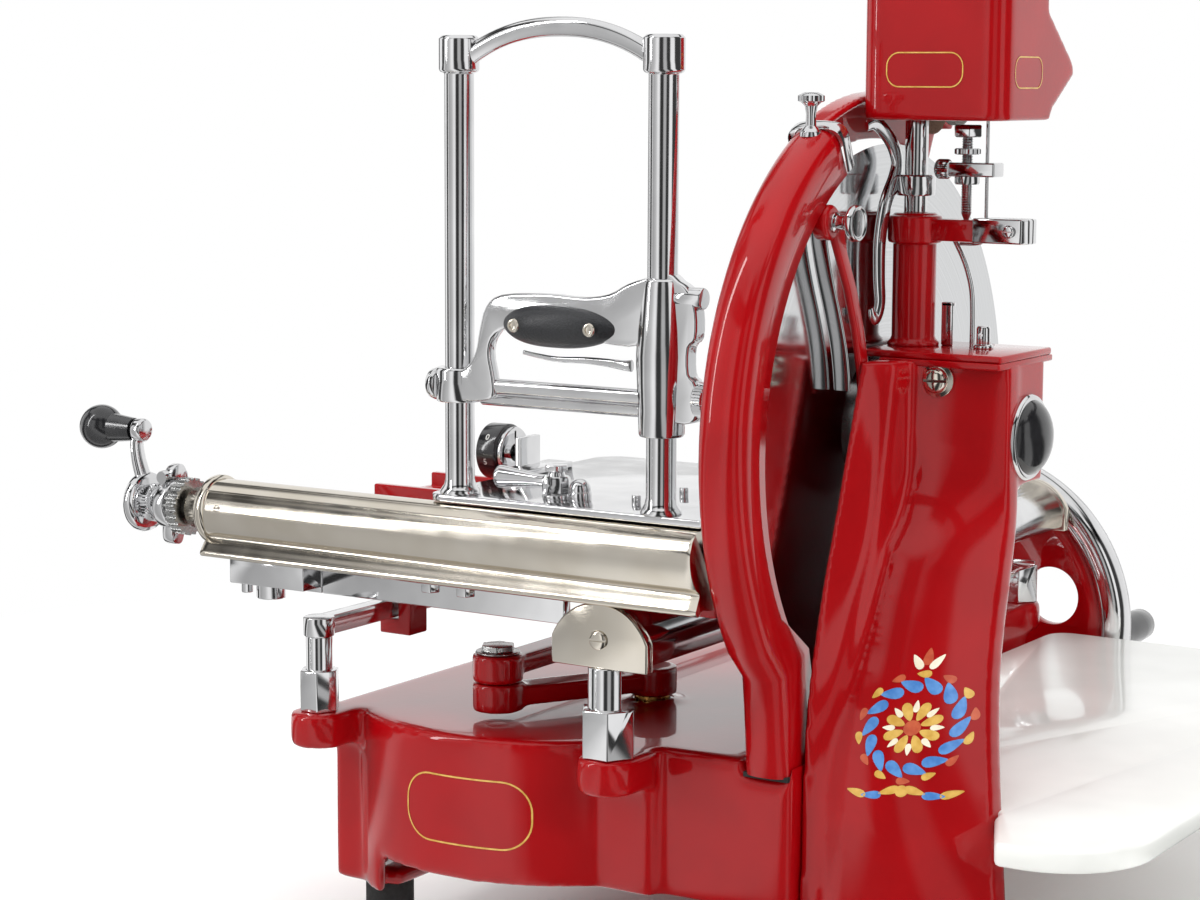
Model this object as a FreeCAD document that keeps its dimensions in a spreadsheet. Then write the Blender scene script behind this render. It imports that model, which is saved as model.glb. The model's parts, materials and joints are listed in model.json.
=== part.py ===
import FreeCAD, Part
import math
import os
import re
import Sketcher
from FreeCAD import Placement, Rotation, Vector

# Hand crank meat slicer: a flywheel machine with a carriage that slides past a round blade.
# Working frame: X = 0 and Y = 0 on the blade axis, Z = 0 on the plane under the feet.
# +X runs from the meat table through the blade to the slice tray, +Y towards the flywheel.

doc = FreeCAD.newDocument("meat_slicer")

# ---------------------------------------------------------------- driving dimensions
DIMENSIONS = [
    # blade and its shaft
    ("blade_radius", 185.0, "cutting edge of the round blade"),
    ("blade_height", 366.0, "blade axis above the feet"),
    ("blade_thick", 3.0, "thickness of the disc"),
    ("blade_bevel", 9.0, "width of the ground bevel"),
    ("blade_hub_radius", 48.0, "clamping flange behind the disc"),
    ("blade_shaft_radius", 10.0, "blade shaft"),
    ("bearing_radius", 17.0, "outer ring of the blade bearings"),
    ("bearing_width", 12.0, "width of a blade bearing"),
    ("dome_radius", 27.0, "black bearing cover"),
    ("dome_depth", 15.0, "how far the cover stands out"),
    # base casting
    ("base_top", 170.0, "machined top of the base"),
    ("base_bottom", 46.0, "underside of the casting"),
    ("base_left", -330.0, "left wall"),
    ("base_right", -75.0, "right wall beside the tray"),
    ("base_near", -165.0, "near wall"),
    ("base_far", 425.0, "far wall"),
    ("base_wall", 8.0, "casting wall"),
    ("base_deck", 7.0, "thickness of the top"),
    ("base_bulge", 36.0, "how far the near wall swells"),
    ("base_arch", 27.0, "height of the arches between the legs"),
    ("leg_width", 54.0, "legs at the corners"),
    ("wing_right", 20.0, "joint face to the column"),
    ("wing_far", 92.0, "far wall of the wing under the blade"),
    ("wing_near", -156.0, "near wall of the wing"),
    ("ear_radius", 20.0, "rail post ears"),
    ("ear_depth", 24.0, "thickness of an ear"),
    ("foot_radius", 19.0, "rubber foot"),
    # rails
    ("rail_x", -92.0, "main rail centre"),
    ("rail_under", 231.0, "flat underside of the main rail"),
    ("rail_round", 35.0, "radius of the rail's crown"),
    ("rail_half", 32.0, "half width of the rail"),
    ("rail_near", -194.0, "near end of the rail body"),
    ("rail_far", 451.0, "far end of the rail body"),
    ("rail_cap", 8.0, "thickness of an end cap"),
    ("cap_lip", 3.4, "cap edge outside the rail"),
    ("post_near", -190.0, "near rail posts"),
    ("post_far", 436.0, "far rail posts"),
    ("rail_post_radius", 13.0, "round part of a main rail post"),
    ("rail_post_hex", 18.5, "across corners of its hexagon, half"),
    ("rail_post_hex_top", 201.0, "top of the hexagon"),
    ("guide_x", -322.0, "left guide rail"),
    ("guide_half", 6.0, "half width of the guide rail"),
    ("guide_top", 234.0, "top of the guide rail"),
    ("guide_depth", 13.0, "depth of the guide rail"),
    ("guide_post_radius", 9.0, "round part of a guide post"),
    ("guide_post_hex", 14.0, "across corners of its hexagon, half"),
    ("guide_post_hex_top", 198.0, "top of the hexagon"),
    # carriage
    ("deck_left", -345.0, "carriage plate, left edge"),
    ("deck_right", -48.0, "carriage plate, right edge"),
    ("deck_near", -166.0, "carriage plate, near edge"),
    ("deck_far", 24.0, "carriage plate, far edge"),
    ("deck_under", 288.0, "underside of the carriage plate"),
    ("deck_thick", 14.0, "carriage plate"),
    ("slider_half", 75.0, "half length of the rail bearing"),
    ("slider_wall", 9.0, "wall of the rail bearing"),
    ("slider_floor", 5.0, "strip under the rail"),
    ("crossbar_under", 246.0, "lower edge of the flat front bar"),
    ("crossbar_thick", 8.0, "thickness of that bar"),
    ("apron_left", -411.0, "left end of the feed housing"),
    ("apron_right", -21.0, "right end of the feed housing"),
    ("apron_radius", 22.0, "rounded feed housing"),
    ("apron_wall", 3.5, "its wall"),
    ("lip_radius", 9.0, "drip lip below the housing"),
    ("lip_drop", 19.0, "lip centre below the screw"),
    ("lip_under", 270.0, "underside of the lip"),
    ("screw_y", -186.0, "feed screw axis"),
    ("screw_z", 298.0, "feed screw axis"),
    ("screw_radius", 7.0, "feed screw"),
    ("screw_pitch", 10.0, "travel per turn"),
    # feed crank
    ("feed_hub_radius", 21.0, "disc of the feed crank"),
    ("feed_hub_left", -482.0, "outer face of that disc"),
    ("feed_throw", 50.0, "feed crank, axis to knob"),
    ("feed_knob_radius", 15.5, "black ball knob"),
    # product table
    ("table_left", -232.0, "left edge"),
    ("table_right", -22.0, "edge beside the blade"),
    ("table_near", -192.0, "near edge"),
    ("table_far", 28.0, "far edge"),
    ("table_under", 320.6, "underside"),
    ("table_thick", 5.0, "plate"),
    ("slide_near", -120.0, "near slide under the table"),
    ("slide_far", -30.0, "far slide under the table"),
    ("slide_wide", 15.0, "width of the slides"),
    ("nut_x", -150.0, "feed nut"),
    ("dial_y", -68.0, "thickness dial"),
    ("dial_z", "table_under + 16.4", "thickness dial"),
    ("dial_radius", 20.0, "thickness dial"),
    ("clamp_x", -148.0, "clamp lever"),
    ("clamp_y", -165.0, "clamp lever"),
    ("table_travel", 160.0, "feed travel away from the blade"),
    ("tower_left", -212.0, "left press post"),
    ("tower_right", -60.0, "right press post"),
    ("tower_y", -181.0, "press posts"),
    ("tower_radius", 9.5, "press posts"),
    ("tower_top", 619.0, "top of the post caps"),
    ("tower_cap_radius", 13.0, "post caps"),
    ("tower_cap_height", 23.0, "post caps"),
    ("arch_rise", 20.0, "arch above the cap centres"),
    ("arch_radius", 6.5, "arch bar"),
    # press
    ("press_low", 374.0, "lower end of the right sleeve"),
    ("press_high", 471.0, "upper end of the right sleeve"),
    ("press_sleeve", 15.5, "right sleeve"),
    ("press_grip_z", 439.0, "black hand grip"),
    ("press_rod_z", 395.0, "cross rods"),
    ("trigger_x", -83.0, "release bar pivot"),
    ("trigger_z", 417.0, "release bar pivot"),
    # sharpener
    ("pillar_x", 22.0, "sharpener pillar"),
    ("pillar_radius", 14.0, "red sleeve"),
    ("pillar_top", "column_top + 91", "top of the red sleeve"),
    ("pillar_shaft", 7.5, "bright shaft"),
    ("hood_left", 5.0, "sharpener hood"),
    ("hood_right", 105.0, "sharpener hood"),
    ("hood_near", -52.0, "sharpener hood"),
    ("hood_far", 40.0, "sharpener hood"),
    ("hood_under", "pillar_top + 60", "underside of the hood"),
    ("hood_height", 92.0, "height of the hood"),
    ("hood_wall", 4.0, "wall of the hood"),
    ("stop_x", 58.0, "stop spindle"),
    ("stone_radius", 22.0, "grinding wheels"),
    ("stone_thick", 9.0, "grinding wheels"),
    # guard
    ("guard_radius", 219.0, "outer rim of the guard"),
    ("guard_left", -14.0, "side towards the meat"),
    ("guard_right", 18.0, "side towards the column"),
    ("guard_wall", 5.0, "casting wall"),
    ("guard_depth", 31.0, "radial depth of the sides"),
    ("guard_inner", "guard_radius - guard_depth", "inner rim of the guard"),
    ("clip_y", "0 - guard_radius/2 - 0.5", "clip screw on the guard"),
    ("clip_z", "blade_height + guard_radius*0.822", "clip screw on the guard"),
    ("strut_y", "0 - guard_inner*0.5957", "screw between guard and strut"),
    ("strut_z", "blade_height + guard_inner*0.7394", "screw between guard and strut"),
    # column
    ("column_left", 20.0, "joint face of the column"),
    ("column_top", "blade_height + 50", "top of the column"),
    ("column_wall", 7.0, "casting wall"),
    ("column_head_right", 104.0, "bearing head"),
    ("column_head_half", 25.5, "half width of the bearing head"),
    ("column_head_under", "blade_height - 30", "underside of the bearing head"),
    # drive
    ("drive_x", -151.0, "flywheel shaft"),
    ("drive_z", 145.0, "flywheel shaft"),
    ("drive_radius", 8.0, "flywheel shaft"),
    ("crank_y", -40.0, "vertical crank shaft"),
    ("elbow_x", -210.0, "crank pin at rest"),
    ("elbow_y", -141.0, "crank pin at rest"),
    ("crank_under", 175.0, "underside of the crank arm"),
    ("pin_radius", 7.0, "crank pin"),
    ("elbow_radius", 17.0, "crank eyes"),
    ("link_thick", 19.0, "crank arm and connecting rod"),
    ("link_cap", 6.0, "cap on the crank pin"),
    ("rod_length", 200.0, "connecting rod, pin to pin"),
    ("gear_radius", 16.0, "mitre gears at the pitch circle"),
    ("gear_face", 7.0, "face width of the mitre gears"),
    ("chain_x", 44.0, "plane of the chain"),
    ("lower_sprocket", 24.0, "chain sprocket on the cross shaft"),
    ("upper_sprocket", 16.0, "chain sprocket on the blade shaft"),
    # flywheel
    ("wheel_radius", 140.0, "rim"),
    ("wheel_near", 464.0, "near face of the rim"),
    ("wheel_width", 28.0, "width of the rim"),
    ("rim_depth", 20.0, "radial depth of the rim"),
    ("web_thick", 8.0, "red disc inside the rim"),
    ("window_radius", 24.0, "round windows"),
    ("window_circle", 78.0, "circle of the windows"),
    ("handle_circle", 112.0, "handle from the axis"),
    ("handle_length", 96.0, "handle grip"),
    ("handle_radius", 14.0, "handle grip"),
    # tray
    ("tray_top", 144.0, "slice tray"),
    ("tray_thick", 15.0, "slice tray"),
    ("tray_left", -66.0, "slice tray"),
    ("tray_right", 232.0, "slice tray"),
    ("tray_near", -155.0, "slice tray"),
    ("tray_far", 455.0, "slice tray"),
    # fits
    ("slide_fit", 0.05, "running clearance of shafts and slides"),
    ("air_gap", 0.3, "clearance between moving neighbours"),
]

sheet = doc.addObject("Spreadsheet::Sheet", "dims")
for row, (alias, size, meaning) in enumerate(DIMENSIONS, 1):
    sheet.set("A%d" % row, meaning)
    sheet.setAlias("B%d" % row, alias)
for row, (alias, size, meaning) in enumerate(DIMENSIONS, 1):
    sheet.set("B%d" % row, "=" + size if isinstance(size, str) else repr(size))
doc.recompute()


class Sizes:
    """The sheet's values as plain numbers, for shapes that Part builds directly."""


dim = Sizes()
for alias, size, meaning in DIMENSIONS:
    setattr(dim, alias, float(sheet.get(alias)))

ALIASES = {alias for alias, size, meaning in DIMENSIONS}
WORD = re.compile(r"[a-z][a-z_]*")
TURN = {
    "X": Rotation(Vector(0, 1, 0), 90),
    "Y": Rotation(Vector(1, 0, 0), -90),
    "Z": Rotation(),
}
nodes = []


# ---------------------------------------------------------------- helpers
def linked(text):
    """Turn an expression in alias words into one that reads the sheet."""
    return WORD.sub(lambda hit: "dims." + hit.group() if hit.group() in ALIASES else hit.group(), str(text))


def bind(item, sizes):
    for name, text in sizes.items():
        item.setExpression(name, linked(text))


def place(item, at, axis="Z"):
    item.Placement = Placement(Vector(), TURN[axis])
    bind(item, {"Placement.Base." + name: text for name, text in zip("xyz", at)})


def rod(name, radius, length, at, axis="Z"):
    item = doc.addObject("Part::Cylinder", name)
    bind(item, {"Radius": radius, "Height": length})
    place(item, at, axis)
    return item


def taper(name, radius_a, radius_b, length, at, axis="Z"):
    item = doc.addObject("Part::Cone", name)
    bind(item, {"Radius1": radius_a, "Radius2": radius_b, "Height": length})
    place(item, at, axis)
    return item


def hexagon(name, corner, length, at, axis="Z"):
    item = doc.addObject("Part::Prism", name)
    item.Polygon = 6
    bind(item, {"Circumradius": corner, "Height": length})
    place(item, at, axis)
    return item


def ball(name, radius, at):
    item = doc.addObject("Part::Sphere", name)
    bind(item, {"Radius": radius})
    place(item, at)
    return item


def block(name, x, y, z):
    """A box between two expressions on each axis."""
    item = doc.addObject("Part::Box", name)
    spans = zip(("Length", "Width", "Height"), (x, y, z))
    bind(item, {side: "(%s) - (%s)" % (high, low) for side, (low, high) in spans})
    place(item, (x[0], y[0], z[0]))
    return item


def join(name, *parts):
    item = doc.addObject("Part::MultiFuse", name)
    item.Shapes = list(parts)
    item.Refine = True
    return item


def carve(name, body, *tools):
    item = doc.addObject("Part::Cut", name)
    item.Base = body
    item.Tool = tools[0] if len(tools) == 1 else join(name + "_tools", *tools)
    item.Refine = True
    return item


def shared(name, *parts):
    item = doc.addObject("Part::MultiCommon", name)
    item.Shapes = list(parts)
    item.Refine = True
    return item


def group(name, *parts):
    """Separate like solids that share one node."""
    item = doc.addObject("Part::Compound", name)
    item.Links = list(parts)
    return item


def made(name, shape):
    item = doc.addObject("Part::Feature", name)
    item.Shape = shape
    return item


def node(item, label):
    item.Label = label
    nodes.append(item)
    return item


def body_plane(body, role):
    return next(feature for feature in body.Origin.OriginFeatures if feature.Role == role)


def plate_body(name, x, y, z, corners=()):
    """A padded plate whose upright edges at the given corners are rounded."""
    body = doc.addObject("PartDesign::Body", name)
    sketch = body.newObject("Sketcher::SketchObject", name + "_outline")
    sketch.AttachmentSupport = (body_plane(body, "XY_Plane"), [""])
    sketch.MapMode = "FlatFace"
    points = [Vector(0, 0, 0), Vector(9, 0, 0), Vector(9, 9, 0), Vector(0, 9, 0)]
    for index in range(4):
        sketch.addGeometry(Part.LineSegment(points[index], points[(index + 1) % 4]), False)
    for index in range(4):
        sketch.addConstraint(Sketcher.Constraint("Coincident", index, 2, (index + 1) % 4, 1))
        sketch.addConstraint(Sketcher.Constraint("Horizontal" if index % 2 == 0 else "Vertical", index))
    sketch.addConstraint(Sketcher.Constraint("Coincident", 0, 1, -1, 1))
    width = sketch.addConstraint(Sketcher.Constraint("DistanceX", 0, 1, 0, 2, 9.0))
    depth = sketch.addConstraint(Sketcher.Constraint("DistanceY", 1, 1, 1, 2, 9.0))
    bind(sketch, {
        "Constraints[%d]" % width: "(%s) - (%s)" % (x[1], x[0]),
        "Constraints[%d]" % depth: "(%s) - (%s)" % (y[1], y[0]),
    })
    pad = body.newObject("PartDesign::Pad", name + "_pad")
    pad.Profile = sketch
    bind(pad, {"Length": "(%s) - (%s)" % (z[1], z[0])})
    place(body, (x[0], y[0], z[0]))
    doc.recompute()
    box = pad.Shape.BoundBox
    for side_x, side_y, radius in corners:
        last = body.Tip
        corner_x = box.XMax if side_x > 0 else box.XMin
        corner_y = box.YMax if side_y > 0 else box.YMin
        for index, edge in enumerate(last.Shape.Edges, 1):
            ends = [vertex.Point for vertex in edge.Vertexes]
            at_corner = all(abs(p.x - corner_x) < 1e-6 and abs(p.y - corner_y) < 1e-6 for p in ends)
            if at_corner and len(ends) == 2:
                fillet = body.newObject("PartDesign::Fillet", name + "_corner")
                fillet.Base = (last, ["Edge%d" % index])
                bind(fillet, {"Radius": radius})
                body.Tip = fillet
                doc.recompute()
                break
    return body


def turned_body(name, outline, at, axis):
    """A revolved profile: (radius, height) pairs in alias expressions."""
    body = doc.addObject("PartDesign::Body", name)
    sketch = body.newObject("Sketcher::SketchObject", name + "_profile")
    sketch.AttachmentSupport = (body_plane(body, "XZ_Plane"), [""])
    sketch.MapMode = "FlatFace"
    count = len(outline)
    points = [Vector(measure(r), measure(h), 0) for r, h in outline]
    for index in range(count):
        sketch.addGeometry(Part.LineSegment(points[index], points[(index + 1) % count]), False)
    for index, (r, h) in enumerate(outline):
        sketch.addConstraint(Sketcher.Constraint("Coincident", index, 2, (index + 1) % count, 1))
        for kind, text, axis_line in (("DistanceX", r, -2), ("DistanceY", h, -1)):
            if text == "0":
                sketch.addConstraint(Sketcher.Constraint("PointOnObject", index, 1, axis_line))
            else:
                rule = Sketcher.Constraint(kind, -1, 1, index, 1, measure(text))
                bind(sketch, {"Constraints[%d]" % sketch.addConstraint(rule): text})
    turn = body.newObject("PartDesign::Revolution", name + "_turn")
    turn.Profile = sketch
    turn.ReferenceAxis = (sketch, ["V_Axis"])
    turn.Angle = 360
    place(body, at, axis)
    doc.recompute()
    return body


def measure(text):
    """Value of an expression made of alias words, numbers and spaced + and -."""
    total = 0.0
    sign = 1.0
    for word in text.split():
        if word in ("+", "-"):
            sign = 1.0 if word == "+" else -1.0
            continue
        product = 1.0
        for factor in word.split("*"):
            head, *divisors = factor.split("/")
            product *= getattr(dim, head) if head in ALIASES else float(head)
            for divisor in divisors:
                product /= getattr(dim, divisor) if divisor in ALIASES else float(divisor)
        total += sign * product
    return total


def across(points, x0, x1):
    """A flat outline in Y and Z, extruded along X."""
    wire = Part.makePolygon([Vector(x0, y, z) for y, z in points + points[:1]])
    return Part.Face(wire).extrude(Vector(x1 - x0, 0, 0))


def upright(points, z0, z1):
    """A flat outline in X and Y, extruded along Z."""
    wire = Part.makePolygon([Vector(x, y, z0) for x, y in points + points[:1]])
    return Part.Face(wire).extrude(Vector(0, 0, z1 - z0))


def drum(x, y, z, radius, length, axis):
    direction = {"X": Vector(1, 0, 0), "Y": Vector(0, 1, 0), "Z": Vector(0, 0, 1)}[axis]
    return Part.makeCylinder(radius, length, Vector(x, y, z), direction)


def pipe(points, radius, bend):
    """A round bar along straight runs joined by tangent arcs."""
    spots = [Vector(*point) for point in points]
    edges = []
    start = spots[0]
    for before, corner, after in zip(spots, spots[1:], spots[2:]):
        back = (before - corner).normalize()
        ahead = (after - corner).normalize()
        half = back.getAngle(ahead) / 2
        reach = bend / math.tan(half)
        middle = corner + (back + ahead).normalize() * (bend / math.sin(half) - bend)
        edges.append(Part.LineSegment(start, corner + back * reach).toShape())
        edges.append(Part.Arc(corner + back * reach, middle, corner + ahead * reach).toShape())
        start = corner + ahead * reach
    edges.append(Part.LineSegment(start, spots[-1]).toShape())
    ring = Part.Wire(Part.Circle(spots[0], spots[1] - spots[0], radius).toShape())
    return Part.Wire(edges).makePipeShell([ring], True, True)


def mitre_gear(bore, hub_length, shaft_length=0):
    """Straight mitre gear about +Z with its cone apex at the origin, bored or in one piece with its shaft."""
    radius = dim.gear_radius
    teeth = 16
    depth_in = 1.9
    depth_out = 1.4
    shrink = (radius - dim.gear_face * math.sqrt(0.5)) / radius
    tilt = math.sqrt(0.5)
    root_r = radius - depth_in * tilt
    root_z = radius + depth_in * tilt
    gear = Part.makeCone(root_r * shrink, root_r, root_z * (1 - shrink), Vector(0, 0, root_z * shrink))
    gear = gear.fuse(drum(0, 0, root_z, root_r * 0.8, hub_length, "Z"))
    if shaft_length:
        gear = gear.fuse(drum(0, 0, dim.drive_radius + 3, bore, shaft_length, "Z"))

    def section(scale):
        spots = []
        for rise, half in (
            (-depth_in - 0.3, 1.9), (depth_out, 0.8), (depth_out, -0.8), (-depth_in - 0.3, -1.9)
        ):
            spots.append(Vector(radius + rise * tilt, half, radius - rise * tilt) * scale)
        return Part.makePolygon(spots + spots[:1])

    tooth = Part.makeLoft([section(shrink), section(1.0)], True, True)
    for index in range(teeth):
        copy = tooth.copy()
        copy.rotate(Vector(), Vector(0, 0, 1), index * 360.0 / teeth)
        gear = gear.fuse(copy)
    if not shaft_length:
        gear = gear.cut(drum(0, 0, 0, bore, 60, "Z"))
    return gear.removeSplitter()


def sprocket(tip, teeth, bore, width):
    """Chain wheel about +X from x = 0."""
    wheel = drum(0, 0, 0, tip, width, "X")
    for index in range(teeth):
        angle = 2 * math.pi * index / teeth
        wheel = wheel.cut(drum(-1, tip * math.cos(angle), tip * math.sin(angle), 2.0, width + 2, "X"))
    return wheel.cut(drum(-1, 0, 0, bore, width + 2, "X"))


# ---------------------------------------------------------------- base casting and feet
ear_spots = {
    "guide_near": ("guide_x", "post_near"),
    "guide_far": ("guide_x", "post_far"),
    "rail_near": ("rail_x", "post_near"),
    "rail_far": ("rail_x", "post_far"),
}
base_parts = [
    block("base_box", ("base_left", "base_right"), ("base_near", "base_far"), ("base_bottom", "base_top")),
    block("base_wing", ("base_right - base_wall", "wing_right"), ("wing_near", "wing_far"),
          ("base_bottom", "base_top")),
]
for name, (x, y) in ear_spots.items():
    base_parts.append(rod(name + "_ear", "ear_radius", "ear_depth", (x, y, "base_top - ear_depth")))
    web = ("post_near", "base_near + 1") if "near" in name else ("base_far - 1", "post_far")
    base_parts.append(block(name + "_web", (x + " - ear_radius", x + " + ear_radius"), web,
                            ("base_top - ear_depth", "base_top")))
base_parts.append(
    shared(
        "base_swell",
        rod(
            "swell_round",
            "base_bulge*4",
            "base_top - base_bottom",
            ("(base_left + rail_x)/2", "base_near + base_bulge*3", "base_bottom"),
        ),
        block(
            "swell_limit",
            ("base_left", "base_right"),
            ("base_near - base_bulge - 1", "base_near + base_wall"),
            ("base_bottom", "base_top"),
        ),
    )
)
base_parts.append(rod("shaft_boss", "drive_radius*3", "base_wall + 26",
                      ("drive_x", "base_far - base_wall - 4", "drive_z"), "Y"))
base_parts.append(
    block(
        "tray_lug_far",
        ("base_right - 1", "tray_left + 30"),
        ("base_far - 180", "base_far - 140"),
        ("tray_top - tray_thick - 8", "tray_top - tray_thick"),
    )
)
base_parts.append(
    block(
        "tray_lug_near",
        ("wing_right - 50", "wing_right - 10"),
        ("wing_far - 1", "wing_far + 40"),
        ("tray_top - tray_thick - 8", "tray_top - tray_thick"),
    )
)
base_parts.append(rod("crank_boss", "drive_radius*2", "crank_under - base_top - 1.5",
                      ("drive_x", "crank_y", "base_top")))
hollow_base = [
    block(
        "base_inside",
        ("base_left + base_wall", "base_right - base_wall"),
        ("base_near + base_wall", "base_far - base_wall"),
        ("base_bottom - 1", "base_top - base_deck"),
    ),
    block(
        "wing_inside",
        ("base_right - base_wall - 1", "wing_right - base_wall"),
        ("wing_near + base_wall", "wing_far - base_wall"),
        ("base_bottom - 1", "base_top - base_deck"),
    ),
    shared(
        "swell_inside",
        rod(
            "swell_inner_round",
            "base_bulge*4 - base_wall",
            "base_top - base_deck - base_bottom + 1",
            ("(base_left + rail_x)/2", "base_near + base_bulge*3", "base_bottom - 1"),
        ),
        block(
            "swell_inner_limit",
            ("base_left + base_wall", "base_right - base_wall"),
            ("base_near - base_bulge", "base_near + base_wall + 1"),
            ("base_bottom - 1", "base_top - base_deck"),
        ),
    ),
    block(
        "arch_ends",
        ("base_left + leg_width", "base_right - leg_width"),
        ("base_near - 60", "base_far + 40"),
        ("base_bottom - 1", "base_bottom + base_arch"),
    ),
    block(
        "arch_sides",
        ("base_left - 9", "wing_right + 9"),
        ("base_near + leg_width", "base_far - leg_width"),
        ("base_bottom - 1", "base_bottom + base_arch"),
    ),
    block(
        "arch_wing",
        ("base_right - leg_width - 1", "wing_right + 9"),
        ("base_near - 60", "base_near + leg_width + 1"),
        ("base_bottom - 1", "base_bottom + base_arch"),
    ),
    block(
        "guard_notch",
        ("guard_left - 1", "guard_right + 1"),
        ("wing_near - 1", "wing_near + 36"),
        ("base_top - 10", "base_top + 1"),
    ),
    rod("shaft_hole", "drive_radius + 4", "90", ("drive_x", "base_far - 40", "drive_z"), "Y"),
    rod("crank_hole", "drive_radius + 4", "30", ("drive_x", "crank_y", "base_top - 20")),
    rod(
        "cross_hole",
        "drive_radius + 3",
        "base_wall + 2",
        ("wing_right - base_wall - 1", "0", "drive_z"),
        "X",
    ),
]
inner_parts = [
    block(
        "leg_near_left",
        ("base_left + 2", "base_left + leg_width"),
        ("base_near + 2", "base_near + leg_width"),
        ("base_bottom", "base_bottom + 12"),
    ),
    block(
        "leg_far_left",
        ("base_left + 2", "base_left + leg_width"),
        ("base_far - leg_width", "base_far - 2"),
        ("base_bottom", "base_bottom + 12"),
    ),
    block(
        "leg_far_right",
        ("base_right - leg_width", "base_right - 2"),
        ("base_far - leg_width", "base_far - 2"),
        ("base_bottom", "base_bottom + 12"),
    ),
    block(
        "shaft_hanger",
        ("drive_x - drive_radius*2", "drive_x + drive_radius*2"),
        ("60", "80"),
        ("drive_z - drive_radius*2", "base_top - 1"),
    ),
    block(
        "guard_seat",
        ("guard_left - 5", "wing_right - 2"),
        ("wing_near + 2", "wing_near + 42"),
        ("base_top - 22", "base_top - 10"),
    ),
    block(
        "cross_hanger",
        ("drive_x + 32", "drive_x + 48"),
        ("0 - drive_radius*2", "drive_radius*2"),
        ("drive_z - drive_radius*2", "base_top - 1"),
    ),
]
hanger_holes = [
    rod("hanger_hole", "drive_radius + slide_fit", "40", ("drive_x", "50", "drive_z"), "Y"),
    rod("cross_hanger_hole", "drive_radius - 1 + slide_fit", "40", ("drive_x + 22", "0", "drive_z"), "X"),
]
casting = carve("base_shell", join("base_solid", *base_parts), *hollow_base)
node(
    carve("base_casting_cut", join("base_casting_sum", casting, *inner_parts), *hanger_holes),
    "base_casting",
)

foot_spots = [
    ("base_left + leg_width/2", "base_near + leg_width/2"),
    ("base_left + leg_width/2", "base_far - leg_width/2"),
    ("base_right - leg_width/2", "base_far - leg_width/2"),
    ("column_left + 92", "wing_near + 56"),
]
feet = [taper("foot_%d" % index, "foot_radius + 3", "foot_radius", "base_bottom", (x, y, "0"))
        for index, (x, y) in enumerate(foot_spots)]
node(group("feet", *feet), "rubber_feet")
node(
    group(
        "bushes",
        carve(
            "far_bush",
            rod(
                "far_bush_ring",
                "drive_radius + 4",
                "26",
                ("drive_x", "base_far - 4", "drive_z"),
                "Y",
            ),
            rod(
                "far_bush_bore",
                "drive_radius + slide_fit",
                "40",
                ("drive_x", "base_far - 9", "drive_z"),
                "Y",
            ),
        ),
        carve(
            "crank_bush",
            rod(
                "crank_bush_ring",
                "drive_radius + 4",
                "crank_under - 1 - base_top + base_deck",
                ("drive_x", "crank_y", "base_top - base_deck"),
            ),
            rod(
                "crank_bush_bore",
                "drive_radius + slide_fit",
                "40",
                ("drive_x", "crank_y", "base_top - 20"),
            ),
        ),
    ),
    "shaft_bushes",
)

# ---------------------------------------------------------------- column
COLUMN = [
    # share of the height, near edge at the joint face, near swell, width, its place along Y
    (0.000, -146.0, -158.0, 128.0, -124.0),
    (0.308, -144.0, -148.0, 106.0, -96.0),
    (0.473, -140.0, -122.0, 94.0, -74.0),
    (0.659, -122.0, -80.0, 86.0, -38.0),
    (0.851, -96.0, -60.0, 84.0, -26.0),
    (1.000, -76.0, -48.0, 84.0, -25.5),
]
COLUMN_HEIGHT = 370.0


def column_section(row, inset):
    share, *outline = row
    growth = (dim.column_top - dim.base_bottom) / COLUMN_HEIGHT
    near, swell_y, width, right_y = [length * growth for length in outline]
    height = dim.base_bottom + share * (dim.column_top - dim.base_bottom)
    left = dim.column_left
    right = left + width
    far = 58.0 * growth
    spots = [
        (left, near),
        (left + 34, swell_y),
        (right - 26, (swell_y * 2 + right_y) / 3),
        (right, right_y),
        (left + 38, far),
        (left, far),
    ]
    wire = Part.makePolygon([Vector(x, y, height) for x, y in spots + spots[:1]])
    return wire.makeOffset2D(-inset, 2) if inset else wire


outer = Part.makeLoft([column_section(row, 0) for row in COLUMN], True, True)
inner = Part.makeLoft([column_section(row, dim.column_wall) for row in COLUMN], True, True)
inner.translate(Vector(0, 0, -dim.column_wall))
inner = inner.fuse(inner.translated(Vector(0, 0, -2.0)))
head_x = dim.column_head_right - dim.column_left
head_z = dim.column_top - dim.column_head_under
half = dim.column_head_half
wall = dim.column_wall
head = Part.makeBox(head_x, 2 * half, head_z, Vector(dim.column_left, -half, dim.column_head_under))
head_inside = Part.makeBox(head_x - wall - dim.bearing_width - 8, 2 * half - 2 * wall, head_z - 2 * wall,
                           Vector(dim.column_left + wall, -half + wall, dim.column_head_under + wall))
shell = outer.fuse(head).cut(inner).cut(head_inside)
boss = drum(dim.column_left, 0, dim.blade_height, dim.bearing_radius + 6, dim.bearing_width + 2, "X")
low_boss = drum(dim.column_left, 0, dim.drive_z, dim.drive_radius + 7, 12, "X")
foot_pad = Part.makeBox(76, 62, 12, Vector(dim.column_left + 50, dim.wing_near + 26, dim.base_bottom))
shell = shell.fuse([boss, low_boss, foot_pad.common(outer)])
for x in (dim.column_left - 1, dim.column_head_right - dim.bearing_width):
    shell = shell.cut(drum(x, 0, dim.blade_height, dim.bearing_radius, dim.bearing_width + 1, "X"))
shell = shell.cut(drum(dim.column_left - 1, 0, dim.blade_height, dim.blade_shaft_radius + 3, head_x, "X"))
shell = shell.cut(drum(dim.column_left - 1, 0, dim.drive_z, dim.drive_radius - 1 + dim.slide_fit, 30, "X"))
big_bolt_seat = ("64", "0 - column_head_half - 22", "blade_height + 38")
big_bolt_top = ("64", "0 - column_head_half - 30", "blade_height + 38")
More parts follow.
